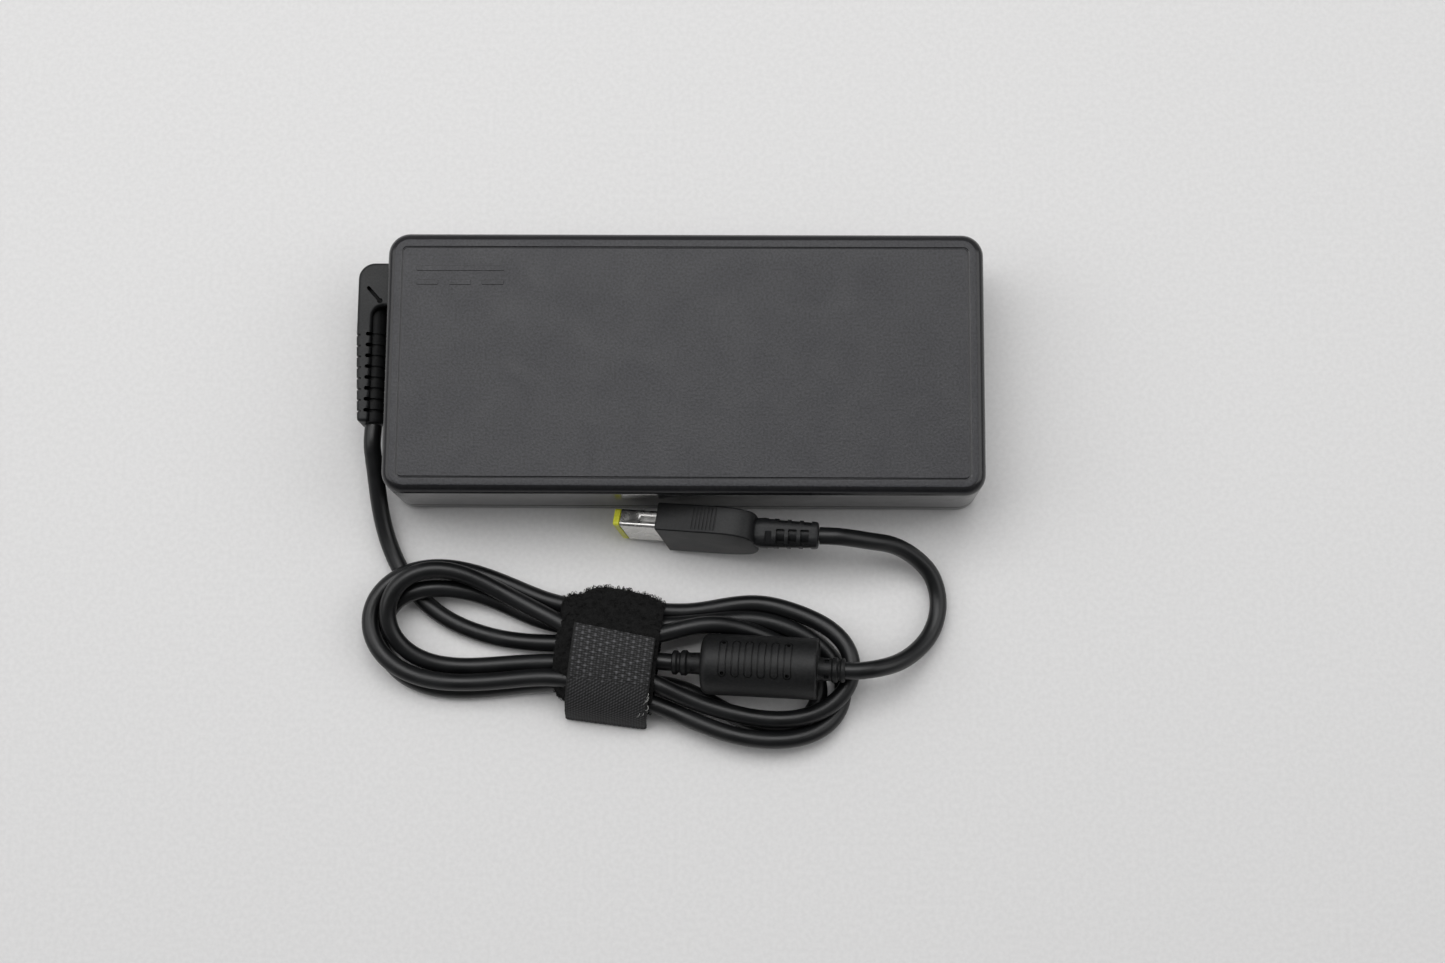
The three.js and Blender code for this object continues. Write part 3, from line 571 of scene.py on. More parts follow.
socket_finish = moulded(
    "socket_plastic", (0.012, 0.012, 0.013), (0.022, 0.022, 0.024), 0.45, 0.3, 0.012)
shell_finish = scuffed_metal(
    "nickel_shell", (0.58, 0.57, 0.55), (0.74, 0.73, 0.71), 0.24, (1, 3, 3))


def cord_finish():
    """Soft vinyl jacket with a faint orange peel, dust and rubbed patches."""
    finish = Finish("cord_jacket", 0.36, specular=0.42)
    peel = finish.noise(0.9, 2.0)
    dust = finish.noise(0.25, 4.0)
    patches = finish.noise(14.0, 4.0, distortion=1.0)
    base = finish.ramp(patches, (0.003, 0.0032, 0.0035), (0.007, 0.0075, 0.008))
    dusty = finish.spread(dust, 0.0, 0.3, 0.55, 0.8)
    finish.colour(finish.mix(base, (0.022, 0.023, 0.024, 1), dusty))
    finish.rough(finish.spread(patches, 0.30, 0.44))
    finish.bump(peel, 0.05, 0.35)
    finish.bump(dust, 0.012, 0.5)
    return finish


def pile_finish():
    """Dark looped pile with lint in it."""
    finish = Finish("strap_pile", 0.95, specular=0.2)
    clumps = finish.noise(1.3, 4.0, distortion=0.8)
    fibres = finish.noise(0.28, 3.0)
    clumped = finish.ramp(clumps, grey(0.003), grey(0.009))
    fibrous = finish.ramp(fibres, grey(0.002), grey(0.016))
    finish.colour(finish.mix(clumped, fibrous, 0.5))
    finish.bump(fibres, 0.25, 0.9)
    return finish


def woven_finish():
    """Woven face: dark ground with lighter raised threads, from the band's own heights."""
    finish = Finish("strap_weave", 0.72, specular=0.35)
    raised = finish.node("ShaderNodeAttribute", {}, attribute_name="raised").outputs["Fac"]
    fleck = finish.noise(0.5, 3.0)
    base = finish.ramp(raised, grey(0.003), (0.15, 0.15, 0.16), 0.30, 1.0)
    finish.colour(finish.mix(base, finish.ramp(fleck, grey(0.003), grey(0.06)), 0.22))
    finish.bump(finish.noise(0.16, 2.0), 0.06, 0.7)
    return finish


def thread_finish():
    """Pale spun fibre."""
    finish = Finish("frayed_thread", 0.8)
    fibre = finish.noise(0.12, 3.0)
    finish.colour(finish.ramp(fibre, (0.25, 0.25, 0.24), (0.55, 0.55, 0.53)))
    finish.bump(fibre, 0.03, 0.6)
    return finish


jacket_finish = cord_finish()
pile = pile_finish()
weave = woven_finish()
thread = thread_finish()


def piece(obj, finish, nodes=(), body=ADAPTER):
    """Gives a shape its finish and its body, and hides the CAD nodes it stands for."""
    obj.data.materials.clear()
    obj.data.materials.append(finish.material)
    if body:
        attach(obj, body)
    if nodes:
        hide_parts(*nodes)
    return obj


# ---- case
def case_ring(depth, z):
    """The case's outline set in by a depth, at a height."""
    corner = max(CASE_CORNER - depth, 0.5)
    if abs(depth - GROOVE_DEPTH) < 0.6:
        corner = GROOVE_CORNER - depth
    return level(rounded_rect(CASE_X - depth, CASE_Y - depth, corner, 10), z)


def rounded_edge(z, sign, steps=8):
    """Insets and heights round the rim of the case, from its wall to its flat."""
    turn = [math.radians(90 * k / steps) for k in range(steps + 1)]
    return [(EDGE * (1 - math.cos(a)), z + sign * EDGE * (math.sin(a) - 1)) for a in turn]


def openings():
    """The holes for the mains inlet and for the outlet boot's root."""
    return bar(14.0, 10.0, 2.3, 6, 60, 80, (0.0, 13.5)), block((-80, 17.4, 1.5), (-70, 27.4, 15.8))


SYMBOL_LEFT, SYMBOL_RIGHT = -67.5, -45.5
SYMBOL_BAR_Y, SYMBOL_DASH_Y = 23.85, 20.25
SYMBOL_ROOT, SYMBOL_TOP = 26.6, 27.18


def direct_current_symbol():
    """A bar over three dashes, in low relief."""
    dash = (SYMBOL_RIGHT - SYMBOL_LEFT) / 4
    bars = [(SYMBOL_LEFT, SYMBOL_RIGHT, SYMBOL_BAR_Y)]
    for k in range(3):
        left = SYMBOL_LEFT + k * 1.5 * dash
        bars.append((left, left + dash, SYMBOL_DASH_Y))
    outlines = [rounded_rect((b - a) / 2, 0.65, 0.2, 3, ((a + b) / 2, y)) for a, b, y in bars]
    return [soft_prism(outline, SYMBOL_ROOT, SYMBOL_TOP, 0.1, 2) for outline in outlines]


def top_cover():
    """The tall upper shell, with the groove round its top."""
    inside = [(4.0, 24.8), (2.8, 24.5), (2.2, 23.6), (2.2, PARTING_HIGH)]
    wall = [(0.35, PARTING_HIGH), (0.08, 6.78), (0.0, 7.05), (0.0, 15.0)]
    rim = rounded_edge(CASE_TOP, 1)
    groove = [(3.58, 27.0), (3.66, 26.98), (3.84, 26.87), (3.96, 26.87), (4.14, 26.98),
              (4.22, 27.0), (9.0, 27.0)]
    obj = solid("case_top", skin([case_ring(d, z) for d, z in inside + wall + rim + groove]))
    cut(obj, *openings())
    join(obj, *direct_current_symbol())
    return finish_shape(obj)


def bottom_cover():
    """The shallow lower shell, with a shallow tray in its underside."""
    inside = [(6.0, 2.0), (4.2, 2.2), (3.4, 3.0), (3.4, 8.0), (2.45, 8.0), (2.45, PARTING_LOW)]
    wall = [(0.35, PARTING_LOW), (0.08, 6.22), (0.0, 5.95)]
    rim = rounded_edge(0.0, -1)
    base = [(6.6, 0.0), (6.8, 0.25), (9.0, 0.25)]
    obj = solid("case_bottom", skin([case_ring(d, z) for d, z in inside + wall + rim + base]))
    cut(obj, *openings())
    return finish_shape(obj)


LEVEL = 0.995  # upward share of a normal from which a face counts as flat


def case_piece(obj, node):
    """A cover with its grained face and its smoother walls and rims."""
    piece(obj, case_finish, [node])
    obj.data.materials.append(wall_finish.material)
    for face in obj.data.polygons:
        face.material_index = int(abs(face.normal.z) < LEVEL)


case_piece(top_cover(), "top_cover")
case_piece(bottom_cover(), "bottom_cover")


# ---- outlet boot
BOOT_LEFT, BOOT_RIGHT = -84.2, -80.3  # sides of the flat outer rail of the boot's leg
BOOT_WALL = -75.3  # the boot's face against the case
BOOT_BASE, BOOT_TOP = 7.5, 16.5
BOOT_NOTCHES = [9.4 - 2.83 * k for k in range(8)]
BOOT_AXIS = (-79.8, 11.9)  # x and z of the cord inside the leg
BOOT_SLOT = turned((-80.1, 19.9, 0), yaw=-48.5)
# The oval sleeve round the cord: y, half width and height, x and z of the middle.
BOOT_SLEEVE = [
    (17.6, 2.0, 2.4, -80.4, 11.2), (16.6, 2.8, 3.2, -80.2, 11.2), (14.0, 3.2, 3.5, -80.1, 11.2),
    (6.0, 3.2, 3.5, -80.1, 11.3), (-4.0, 3.1, 3.4, -80.0, 11.6), (-12.6, 3.2, 3.4, -79.95, 11.9),
    (-13.2, 3.05, 3.25, -79.95, 11.9), (-13.4, 2.8, 2.95, -79.9, 11.9),
]


def boot_sleeve():
    return skin([[(x + half_x * math.cos(a), y, z + half_z * math.sin(a)) for a in round_angles(40)]
                 for y, half_x, half_z, x, z in BOOT_SLEEVE])


def boot_outline():
    """The L of arm and leg seen from above."""
    left, right = BOOT_LEFT, BOOT_RIGHT
    arm_low, arm_high = 16.7, 28.1
    outline = [(BOOT_WALL, arm_low), (BOOT_WALL, arm_high)]
    outline += arc((left + 4.2, arm_high - 4.2), 4.2, 90, 180, 12)
    outline += [(left, 14), (left, 8.0), (left + 0.35, -2.0)]
    outline += arc((-82.5, -12.48), 0.92, 180, 270, 7)
    outline += arc((right - 0.95, -12.48), 0.92, 270, 360, 7)
    outline += [(right, 8.0), (right, 13.0)]
    outline += [(right + 2.8 - 2.8 * math.cos(a), 13.8 + 2.9 * math.sin(a))
                for a in np.radians(np.linspace(8, 90, 9))]
    return outline


def outlet_boot():
    """The right-angle boot: arm, leg, sleeve and root, with its slot, windows and notches."""
    obj = solid("outlet_boot", soft_prism(boot_outline(), BOOT_BASE, BOOT_TOP, 0.88, 5))
    join(obj, boot_sleeve())
    join(obj, soft_prism(rounded_rect(2.6, 5.1, 0.8, 4, (-73.9, 22.4)), 8.6, 15.4, 0.4, 2))
    cuts = [moved(prism(rounded_rect(2.5, 0.46, 0.42, 5), 14.4, 17.5), BOOT_SLOT),
            prism(rounded_rect(0.68, 0.68, 0.6, 5, (-78.45, 18.05)), 14.9, 17.5)]
    for y in BOOT_NOTCHES:
        cuts.append(prism(rounded_rect(3.35, 0.5, 0.46, 5, (-78.4, y)), 8.6, 17.5))
        flank = BOOT_LEFT + 0.035 * (BOOT_NOTCHES[0] - y)
        cuts.append(block((-85.0, y - 0.6, 9.6), (flank + 0.55, y, 16.3)))
        cuts.append(prism(rounded_rect(0.42, 0.26, 0.2, 3, (flank + 0.75, y - 0.3)), 14.6, 17.5))
    cut(obj, *cuts)
    sleeve = lathe([(-13.2, 2.35), (15.5, 2.35)], 40)
    axis = Matrix(((0, -1, 0, BOOT_AXIS[0]), (1, 0, 0, 0), (0, 0, 1, BOOT_AXIS[1]), (0, 0, 0, 1)))
    join(obj, moved(sleeve, axis))
    soften(obj, 0.12, 2, 45)
    return finish_shape(obj, sharp=40)


def gets_painted_shade(place):
    """Whether a place gets the boot's painted shade: inside a slot or window of the boot, or down
    between it and the case.
    """
    x, y, z = place
    sunk = z < BOOT_TOP - 0.12
    beside_case = x > -80.6 and -13.3 < y < 16.8 and z < BOOT_TOP - 0.9
    window = x > -82.1 and min(abs(y - notch) for notch in BOOT_NOTCHES) < 0.6
    u, v, _ = BOOT_SLOT.inverted() @ Vector((x, y, 0))
    slot = abs(u) < 3.1 and abs(v) < 0.8
    return beside_case or (sunk and (window or slot))


dc_boot = piece(outlet_boot(), boot_finish, ["dc_outlet_boot"])
# Faces in the boot's slot, windows and the gap beside the case take the darker finish, as painted
# shade.
dc_boot.data.materials.append(boot_shade_finish.material)
for face in dc_boot.data.polygons:
    face.material_index = int(gets_painted_shade(face.center / MM))


# ---- mains inlet
def softened_copy(name, node, width):
    """A CAD node's own shape with its edges eased."""
    mesh = bmesh.new()
    mesh.from_mesh(bpy.data.objects[node].data)
    bmesh.ops.remove_doubles(mesh, verts=mesh.verts, dist=2e-6)
    bmesh.ops.dissolve_limit(
        mesh, angle_limit=math.radians(1), verts=mesh.verts, edges=mesh.edges)
    bmesh.ops.scale(mesh, vec=(1 / MM,) * 3, verts=mesh.verts)
    obj = solid(name, mesh)
    soften(obj, width)
    return finish_shape(obj)


pin_finish = scuffed_metal("pin_nickel", (0.60, 0.58, 0.54), (0.80, 0.78, 0.74), 0.22, (4, 1, 1))
mains_inlet = softened_copy("mains_inlet", "inlet_housing", 0.35)
piece(mains_inlet, socket_finish, ["inlet_housing"])
for wire in ("line", "neutral", "earth"):
    node = f"inlet_pin_{wire}"
    piece(softened_copy(f"mains_pin_{wire}", node, 0.3), pin_finish, [node])


# ---- ferrite bead
RIB_START, RIB_PITCH, RIBS = 5.9, 3.25, 6
RIB_PLACES = [BEAD_BODY[0] + RIB_START + RIB_PITCH * k for k in range(RIBS)]
PIT_ANGLE = 0.52  # radians to each side of the ribs' middle
NECK_WINDOWS = (5.4, 39.0)
WINDOW_ANGLE = 0.75


def round_x(angle, x=0.0):
    """A turn about X, with a shift along it."""
    return Matrix.Rotation(angle, 4, "X") @ Matrix.Translation((x, 0, 0))


def on_bead(x, angle, radius):
    """A point on the bead, from its length, the angle from its top and its radius."""
    return (x, -radius * math.sin(angle), radius * math.cos(angle))


def bead_rib(x, width, half_angle, low, high):
    """A bar with round ends that follows the bead's curve between two radii."""
    round_end = 0.5 * width / BEAD_RADIUS
    rings = []
    for angle in half_angle * np.sin(np.radians(np.linspace(-90, 90, 25))) * 0.9999:
        over = max(0.0, (abs(angle) - half_angle + round_end) / round_end)
        half = 0.5 * width * math.sqrt(1 - over * over)
        shoulder = min(0.16, 0.4 * half)
        loop = [(-half, low), (half, low), (half, high - 0.1), (half - shoulder, high),
                (shoulder - half, high), (-half, high - 0.1)]
        rings.append([on_bead(x + u, BEAD_TWIST + angle, radius) for u, radius in loop])
    return skin(rings)


def bead_ribs(*shape):
    """The same bar six times on the bead's upper face, and six times on its lower one."""
    upper = [bead_rib(x, *shape) for x in RIB_PLACES]
    return upper + [moved(bead_rib(x, *shape), round_x(math.pi)) for x in RIB_PLACES]


def bead_body():
    """Ringed neck, ribbed body and ringed neck, with small pits and windows."""
    start, end = BEAD_BODY
    profile = [(0.0, 2.75), (0.25, 3.05), (1.05, 3.1), (1.3, 2.85), (1.5, 2.55), (1.95, 2.55),
               (2.2, 2.9), (2.4, 3.2), (3.5, 3.25), (3.8, 3.0), (3.95, 2.75), (4.6, 2.7),
               (start - 0.5, 2.8), (start - 0.05, 3.2), (start, 4.0), (start + 0.02, 5.0)]
    profile += [(start + 1.9 * (1 - math.sin(a)), BEAD_RADIUS - 1.9 * (1 - math.cos(a)))
                for a in np.radians(np.linspace(80, 0, 8))]
    profile += [(start + 12, BEAD_RADIUS), (end - 0.9, BEAD_RADIUS)]
    profile += [(end - 0.45 * (1 - math.sin(a)), BEAD_RADIUS - 0.45 * (1 - math.cos(a)))
                for a in np.radians(np.linspace(15, 90, 5))]
    profile += [(end + 0.02, 6.4), (end - 0.15, 6.2), (end - 0.15, 3.4), (end + 0.1, 3.0),
                (40.2, 2.8), (40.4, 3.05), (40.7, 3.2), (41.5, 3.2), (41.8, 2.9), (42.0, 2.55),
                (42.3, 2.55), (42.5, 2.9), (42.8, 3.1), (43.3, 3.05), (43.6, 2.75)]
    obj = solid("bead_body", lathe(profile, 72))
    cut(obj, *bead_ribs(2.2, 0.66, BEAD_RADIUS - 0.35, BEAD_RADIUS + 1))
    join(obj, *bead_ribs(1.5, 0.61, BEAD_RADIUS - 0.6, BEAD_RADIUS + 0.22))
    pits = []
    for x in (RIB_PLACES[0], RIB_PLACES[-1]):
        for angle in (BEAD_TWIST - PIT_ANGLE, BEAD_TWIST + PIT_ANGLE):
            outline = arc((0.01, 0), 0.5, -90, 90, 9) + arc((-0.01, 0), 0.5, 90, 270, 9)
            pit = prism(outline, BEAD_RADIUS - 1.0, BEAD_RADIUS + 1)
            pits.append(moved(pit, round_x(angle, x)))
    for x in NECK_WINDOWS:
        for angle in (WINDOW_ANGLE, -WINDOW_ANGLE, math.pi - WINDOW_ANGLE, math.pi + WINDOW_ANGLE):
            window = prism(rounded_rect(0.62, 0.62, 0.15, 3), 2.3, 5.0)
            pits.append(moved(window, round_x(angle, x)))
    cut(obj, *pits)
    soften(obj, 0.07, 1, 50)
    return finish_shape(obj, BEAD, 40)


bead = piece(bead_body(), bead_finish, ["ferrite_bead_overmould"])


# ---- plug
def bezier(p0, p1, p2, p3, steps=10):
    """Points of a cubic curve, without its first."""
    points = []
    for k in range(1, steps + 1):
        t = k / steps
        a, b, c, d = (1 - t) ** 3, 3 * t * (1 - t) ** 2, 3 * t * t * (1 - t), t ** 3
        points.append((a * p0[0] + b * p1[0] + c * p2[0] + d * p3[0],
                       a * p0[1] + b * p1[1] + c * p2[1] + d * p3[1]))
    return points


GRIP_START, GRIP_PITCH, GRIP_RIBS = 21.6, 0.95, 7


def plug_housing():
    """The wedge-shaped grip, with ribs on its narrow sides and a parting line."""
    start, end, half, bend = 12.0, 36.6, 8.0, 10.5
    outline = [(start, -half), (end - bend, -half)]
    outline += bezier((end - bend, -half), (end - 4.4, -half), (end, -half + 1.4), (end, -2.8))
    outline += [(end, 0.0), (end, 2.8)]
    outline += bezier((end, 2.8), (end, half - 1.4), (end - 4.4, half), (end - bend, half))
    outline += [(start, half)]
    obj = solid("plug_housing_shape", moved(soft_prism(outline, -3.7, 3.7, 0.45, 3), UPRIGHT))
    pocket = bar(2.55, 5.8, 0.8, 4, 11, 15.3)
    grooves = []
    for k in range(GRIP_RIBS):
        x = GRIP_START + GRIP_PITCH * k
        for side in (-1, 1):
            z = side * half
            grooves.append(block((x - 0.17, -2.9, z - 0.22), (x + 0.17, 2.9, z + 0.22)))
    seam = block((start - 1, -0.06, -9), (start + 0.12, 0.06, 9))
    cut(obj, pocket, *grooves, seam)
    soften(obj, 0.06, 1, 50)
    return finish_shape(obj, PLUG, 40)


SHELL_Y, SHELL_Z = 2.25, 5.5  # half sizes of the plug's metal shell


def plug_shell():
    """The metal sleeve, with a detent pressed into each narrow side."""
    start, end, wall = 1.9, 15.0, 0.4
    obj = solid("plug_shell_shape", bar(SHELL_Y, SHELL_Z, 0.7, 6, start, end))
    cut(obj, bar(SHELL_Y - wall, SHELL_Z - wall, 0.4, 6, start - 1, end + 1))
    outline = [(6.4, -1.5), (12.6, -1.5), (12.6, 1.3), (6.4, 1.3)]
    for side in (-1, 1):
        layers = [level(inset(outline, d), side * z)
                  for d, z in ((0.62, 5.2), (0.62, 5.36), (0.55, 5.36), (0.0, 5.5), (-0.1, 5.9))]
        cut(obj, skin(layers))
    soften(obj, 0.06, 2, 50)
    return finish_shape(obj, PLUG, 40)


def plug_nose():
    """The insulator at the mouth, with its core inside the shell."""
    ring = skin([[(x, y, z) for y, z in inset(rounded_rect(SHELL_Y, SHELL_Z, 0.8, 6), d)]
                 for x, d in ((0.0, 0.35), (0.1, 0.12), (0.3, 0.0), (1.6, 0.0))])
    obj = solid("plug_nose_shape", ring)
    join(obj, bar(1.55, 4.8, 0.5, 6, 1.2, 12.0))
    cut(obj, bar(1.0, 4.0, 0.4, 6, -1, 10))
    return finish_shape(obj, PLUG, 40)


def plug_boot():
    """The strain relief: a rounded square sleeve with rows of windows over a round core."""
    profile = [(-0.9, 3.3), (-0.4, 3.5), (0.3, 3.62), (1.6, 3.74)]
    profile += [(x, 3.74 - 0.4 * (x - 1.6) / 13.0) for x in (4, 6.5, 9, 11.5, 14.3)]
    profile += [(14.9, 3.22), (15.15, 2.9), (15.2, 2.5)]
    rings = []
    for x, radius in profile:
        outline = rounded_rect(radius, radius, radius * 0.72, 8)
        rings.append([(x, y, z) for y, z in outline])
    obj = solid("plug_boot_shape", skin(rings))
    windows = []
    for quarter in range(4):
        roll = round_x(math.radians(22 + 90 * quarter))
        shift = 0.6 if quarter % 2 else 0.0
        notch = prism(rounded_rect(0.85, 1.5, 0.25, 3, (2.7 + shift, 0)), 3.3, 5)
        windows.append(moved(notch, roll))
        for x in (5.7, 8.75, 11.8):
            window = prism(rounded_rect(1.08, 2.05, 0.3, 3, (x + shift, 0)), 2.0, 5)
            windows.append(moved(window, roll))
    cut(obj, *windows)
    join(obj, lathe([(0.5, 2.4), (14.5, 2.4)], 40))
    soften(obj, 0.1, 2, 45)
    return finish_shape(obj, PLUG_BOOT, 40)


plug_body = piece(plug_housing(), plug_finish, ["plug_housing"])
shell = piece(plug_shell(), shell_finish, ["plug_shell"])
nose = piece(plug_nose(), nose_finish, ["plug_nose_insulator"])
pin = softened_copy("plug_pin_shape", "plug_contact_pin", 0.12)
piece(pin, pin_finish, ["plug_contact_pin"])
rear_boot = piece(plug_boot(), boot_finish, ["plug_boot"])

piece(cord, jacket_finish, ["dc_cord_lead", "dc_cord_hank", "dc_cord_end"])


# ---- strap
PILE_SECTION = [
    (15.5, 4.4), (15.2, 7.4), (13.4, 10.2), (9.8, 12.1), (5.0, 13.0), (0.0, 13.1), (-4.6, 12.7),
    (-8.8, 11.6), (-12.2, 9.5), (-14.6, 6.6), (-15.5, 3.6), (-14.4, 1.0), (-11.0, 0.25),
    (-4.0, 0.12), (4.0, 0.12), (11.0, 0.25), (14.6, 1.4),
]
# Across the strap: how far it reaches back and forward, and how high it stands, as shares.
PILE_FLARE = [
    (-12.6, 0.78, 0.66, 0.72), (-12.2, 0.80, 0.72, 0.76), (-10.5, 0.83, 0.84, 0.82),
    (-8.0, 0.88, 0.93, 0.90), (-5.5, 0.98, 0.98, 0.97), (-2.0, 1.02, 1.0, 1.0),
    (3.0, 1.02, 1.0, 1.0), (8.0, 0.99, 1.0, 1.0), (11.0, 0.93, 0.97, 0.98),
    (13.2, 0.88, 0.92, 0.93), (13.7, 0.86, 0.90, 0.90),
]
PILE_THICKNESS = 1.25
PILE_STEP = 0.42  # spacing of the ring's points, both ways
PILE_LOOPS = 1500
rng = np.random.default_rng(7)


def closed_curve(points, step):
    """A smooth closed curve through the points, evenly spaced."""
    p = np.asarray(points, float)
    fine = smooth_line(np.vstack([p[-3:], p, p[:3]]), 0.1)
    away = np.linalg.norm(fine - p[0], axis=1)
    starts = np.nonzero(away < away.min() + 0.12)[0]
    return evenly(fine[starts[0]:starts[-1] + 1], step)[:-1]


def section_normals(section):
    """Outward normals of an anticlockwise closed section."""
    ahead = unit(np.roll(section, -1, 0) - np.roll(section, 1, 0))
    return np.stack([ahead[:, 1], -ahead[:, 0]], -1)


def flare(x, section):
    """The pile ring's section as it narrows towards the strap's edges."""
    columns = np.array(PILE_FLARE)
    back, front, high = [np.interp(x, columns[:, 0], columns[:, k]) for k in (1, 2, 3)]
    y = np.where(section[:, 0] > 0, section[:, 0] * back, section[:, 0] * front)
    z = 0.12 + (section[:, 1] - 0.12) * high
    return np.stack([y, z], -1)


def pile_shape():
    """The looped-pile ring: a closed band whose surface is uneven like cut and matted loops."""
    section = closed_curve(PILE_SECTION, PILE_STEP)
    outside = section_normals(section)
    if (outside * section).sum() < 0:
        outside = -outside
    xs = np.arange(PILE_FLARE[0][0], PILE_FLARE[-1][0] + 0.01, PILE_STEP)
    fuzz = rng.normal(0, 1, (len(xs), len(section)))
    fuzz = 0.5 * fuzz + 0.25 * (np.roll(fuzz, 1, 0) + np.roll(fuzz, 1, 1))
    coarse = rng.normal(0, 1, (len(xs), len(section)))
    for _ in range(5):
        coarse = (coarse + np.roll(coarse, 1, 0) + np.roll(coarse, -1, 0)
                  + np.roll(coarse, 1, 1) + np.roll(coarse, -1, 1)) / 5
    edge = rng.normal(0, 0.16, len(section))
    rows = []
    for k, x in enumerate(xs):
        ring = flare(x, section)
        rise = 0.10 * fuzz[k] + 0.55 * coarse[k]
        rise *= np.clip((ring[:, 1] - 0.5) / 2.5, 0, 1)
        ring = ring + outside * rise[:, None]
        ring[:, 1] = np.maximum(ring[:, 1], 0.06)
        sway = edge * max(0, abs(k - len(xs) / 2) / (len(xs) / 2) - 0.9) * 10
        rows.append(np.c_[x + sway, ring])
    inner = []
    for k in (len(xs) - 1, len(xs) // 2, 0):
        ring = flare(xs[k], section) - outside * PILE_THICKNESS
        inner.append(np.c_[np.full(len(section), xs[k]), ring])
    return solid("strap_pile_band", skin(rows + inner, closed=True)), rows, outside


def pile_loops(rows, outside):
    """Small loops of yarn standing out of the pile, longer at the back edge."""
    loops = []
    for _ in range(PILE_LOOPS):
        i = int(rng.integers(0, len(rows)))
        j = int(rng.integers(0, len(outside)))
        base = rows[i][j]
        out = np.array([0, *outside[j]])
        if base[2] < 1.2:
            continue
        along = rng.normal(0, 1, 3)
        along -= out * (along @ out)
        along /= np.linalg.norm(along)
        height = rng.uniform(0.25, 0.6) * (1.7 if outside[j][0] > 0.25 else 1.0)
        reach = rng.uniform(0.2, 0.5)
        turn = np.linspace(-0.25, math.pi + 0.25, 6)
        path = [base + out * height * math.sin(t) + along * reach * math.cos(t) for t in turn]
        loops.append(tube(path, rng.uniform(0.05, 0.085), 4))
    return solid("strap_pile_loops", merge(*loops))


BAND_PATH = [
    (4.6, 13.75), (2.0, 14.0), (-1.5, 14.05), (-5.0, 13.65), (-9.0, 12.65), (-12.6, 10.75),
    (-15.4, 7.9), (-16.9, 4.6), (-17.4, 2.4), (-17.9, 1.1),
]
BAND_LEFT, BAND_RIGHT = -8.2, 12.6
BAND_THICKNESS = 0.9
BAND_STEP, BAND_COLUMNS = 0.17, 124  # fine enough to carry the weave
WEAVE_ACROSS, WEAVE_ALONG = 1.62, 1.36
WEFT_PITCH = 0.56
SPECKLED_LENGTH = 12.6  # from the band's end down to its twill part


def weave_height(x, s):
    """Height of the weave, 0 to 1: floats in a broken pattern, then a fine twill further down."""
    rib = 0.5 + 0.5 * np.cos(2 * np.pi * s / WEFT_PITCH)
    column = np.floor(x / WEAVE_ACROSS)
    cell_x = x / WEAVE_ACROSS - column
    shift = 0.5 * (column % 2)
    row = np.floor(s / WEAVE_ALONG + shift)
    cell_s = s / WEAVE_ALONG + shift - row
    chance = np.modf(np.abs(np.sin(column * 12.9898 + row * 78.233) * 43758.5453))[0]
    knot = np.exp(-((cell_x - 0.5) / 0.30) ** 2) * np.exp(-((cell_s - 0.5) / 0.24) ** 2)
    knot *= 0.55 + 0.65 * chance
    yarn = 0.5 + 0.5 * np.cos(2 * np.pi * x / (WEAVE_ACROSS / 2))
    floats = np.clip(0.30 * rib + 0.30 * yarn * rib + 0.62 * knot, 0, 1)
    twill = 0.34 + 0.22 * np.cos(2 * np.pi * (s / 0.9 + x / 1.2))
    twill += 0.12 * np.cos(2 * np.pi * x / 0.7)
    lower = 1 / (1 + np.exp(-(s - SPECKLED_LENGTH - 0.6 * np.sin(x * 1.7)) / 0.5))
    return np.clip(floats * (1 - lower) + twill * lower, 0, 1)


def band_path():
    """The band's middle line seen from its side, and the way out from the hank along it."""
    path = smooth_line(BAND_PATH, BAND_STEP)
    heading = unit(np.gradient(path, axis=0))
    outward = np.stack([heading[:, 1], -heading[:, 0]], -1)
    return path, -outward if outward[0][1] < 0 else outward


def band_rim(count, width):
    """Places round the rim of a grid of rows and columns."""
    rim = [(i, 0) for i in range(count)]
    rim += [(count - 1, k) for k in range(1, width)]
    rim += [(i, width - 1) for i in range(count - 2, -1, -1)]
    return rim + [(0, k) for k in range(width - 2, 0, -1)]


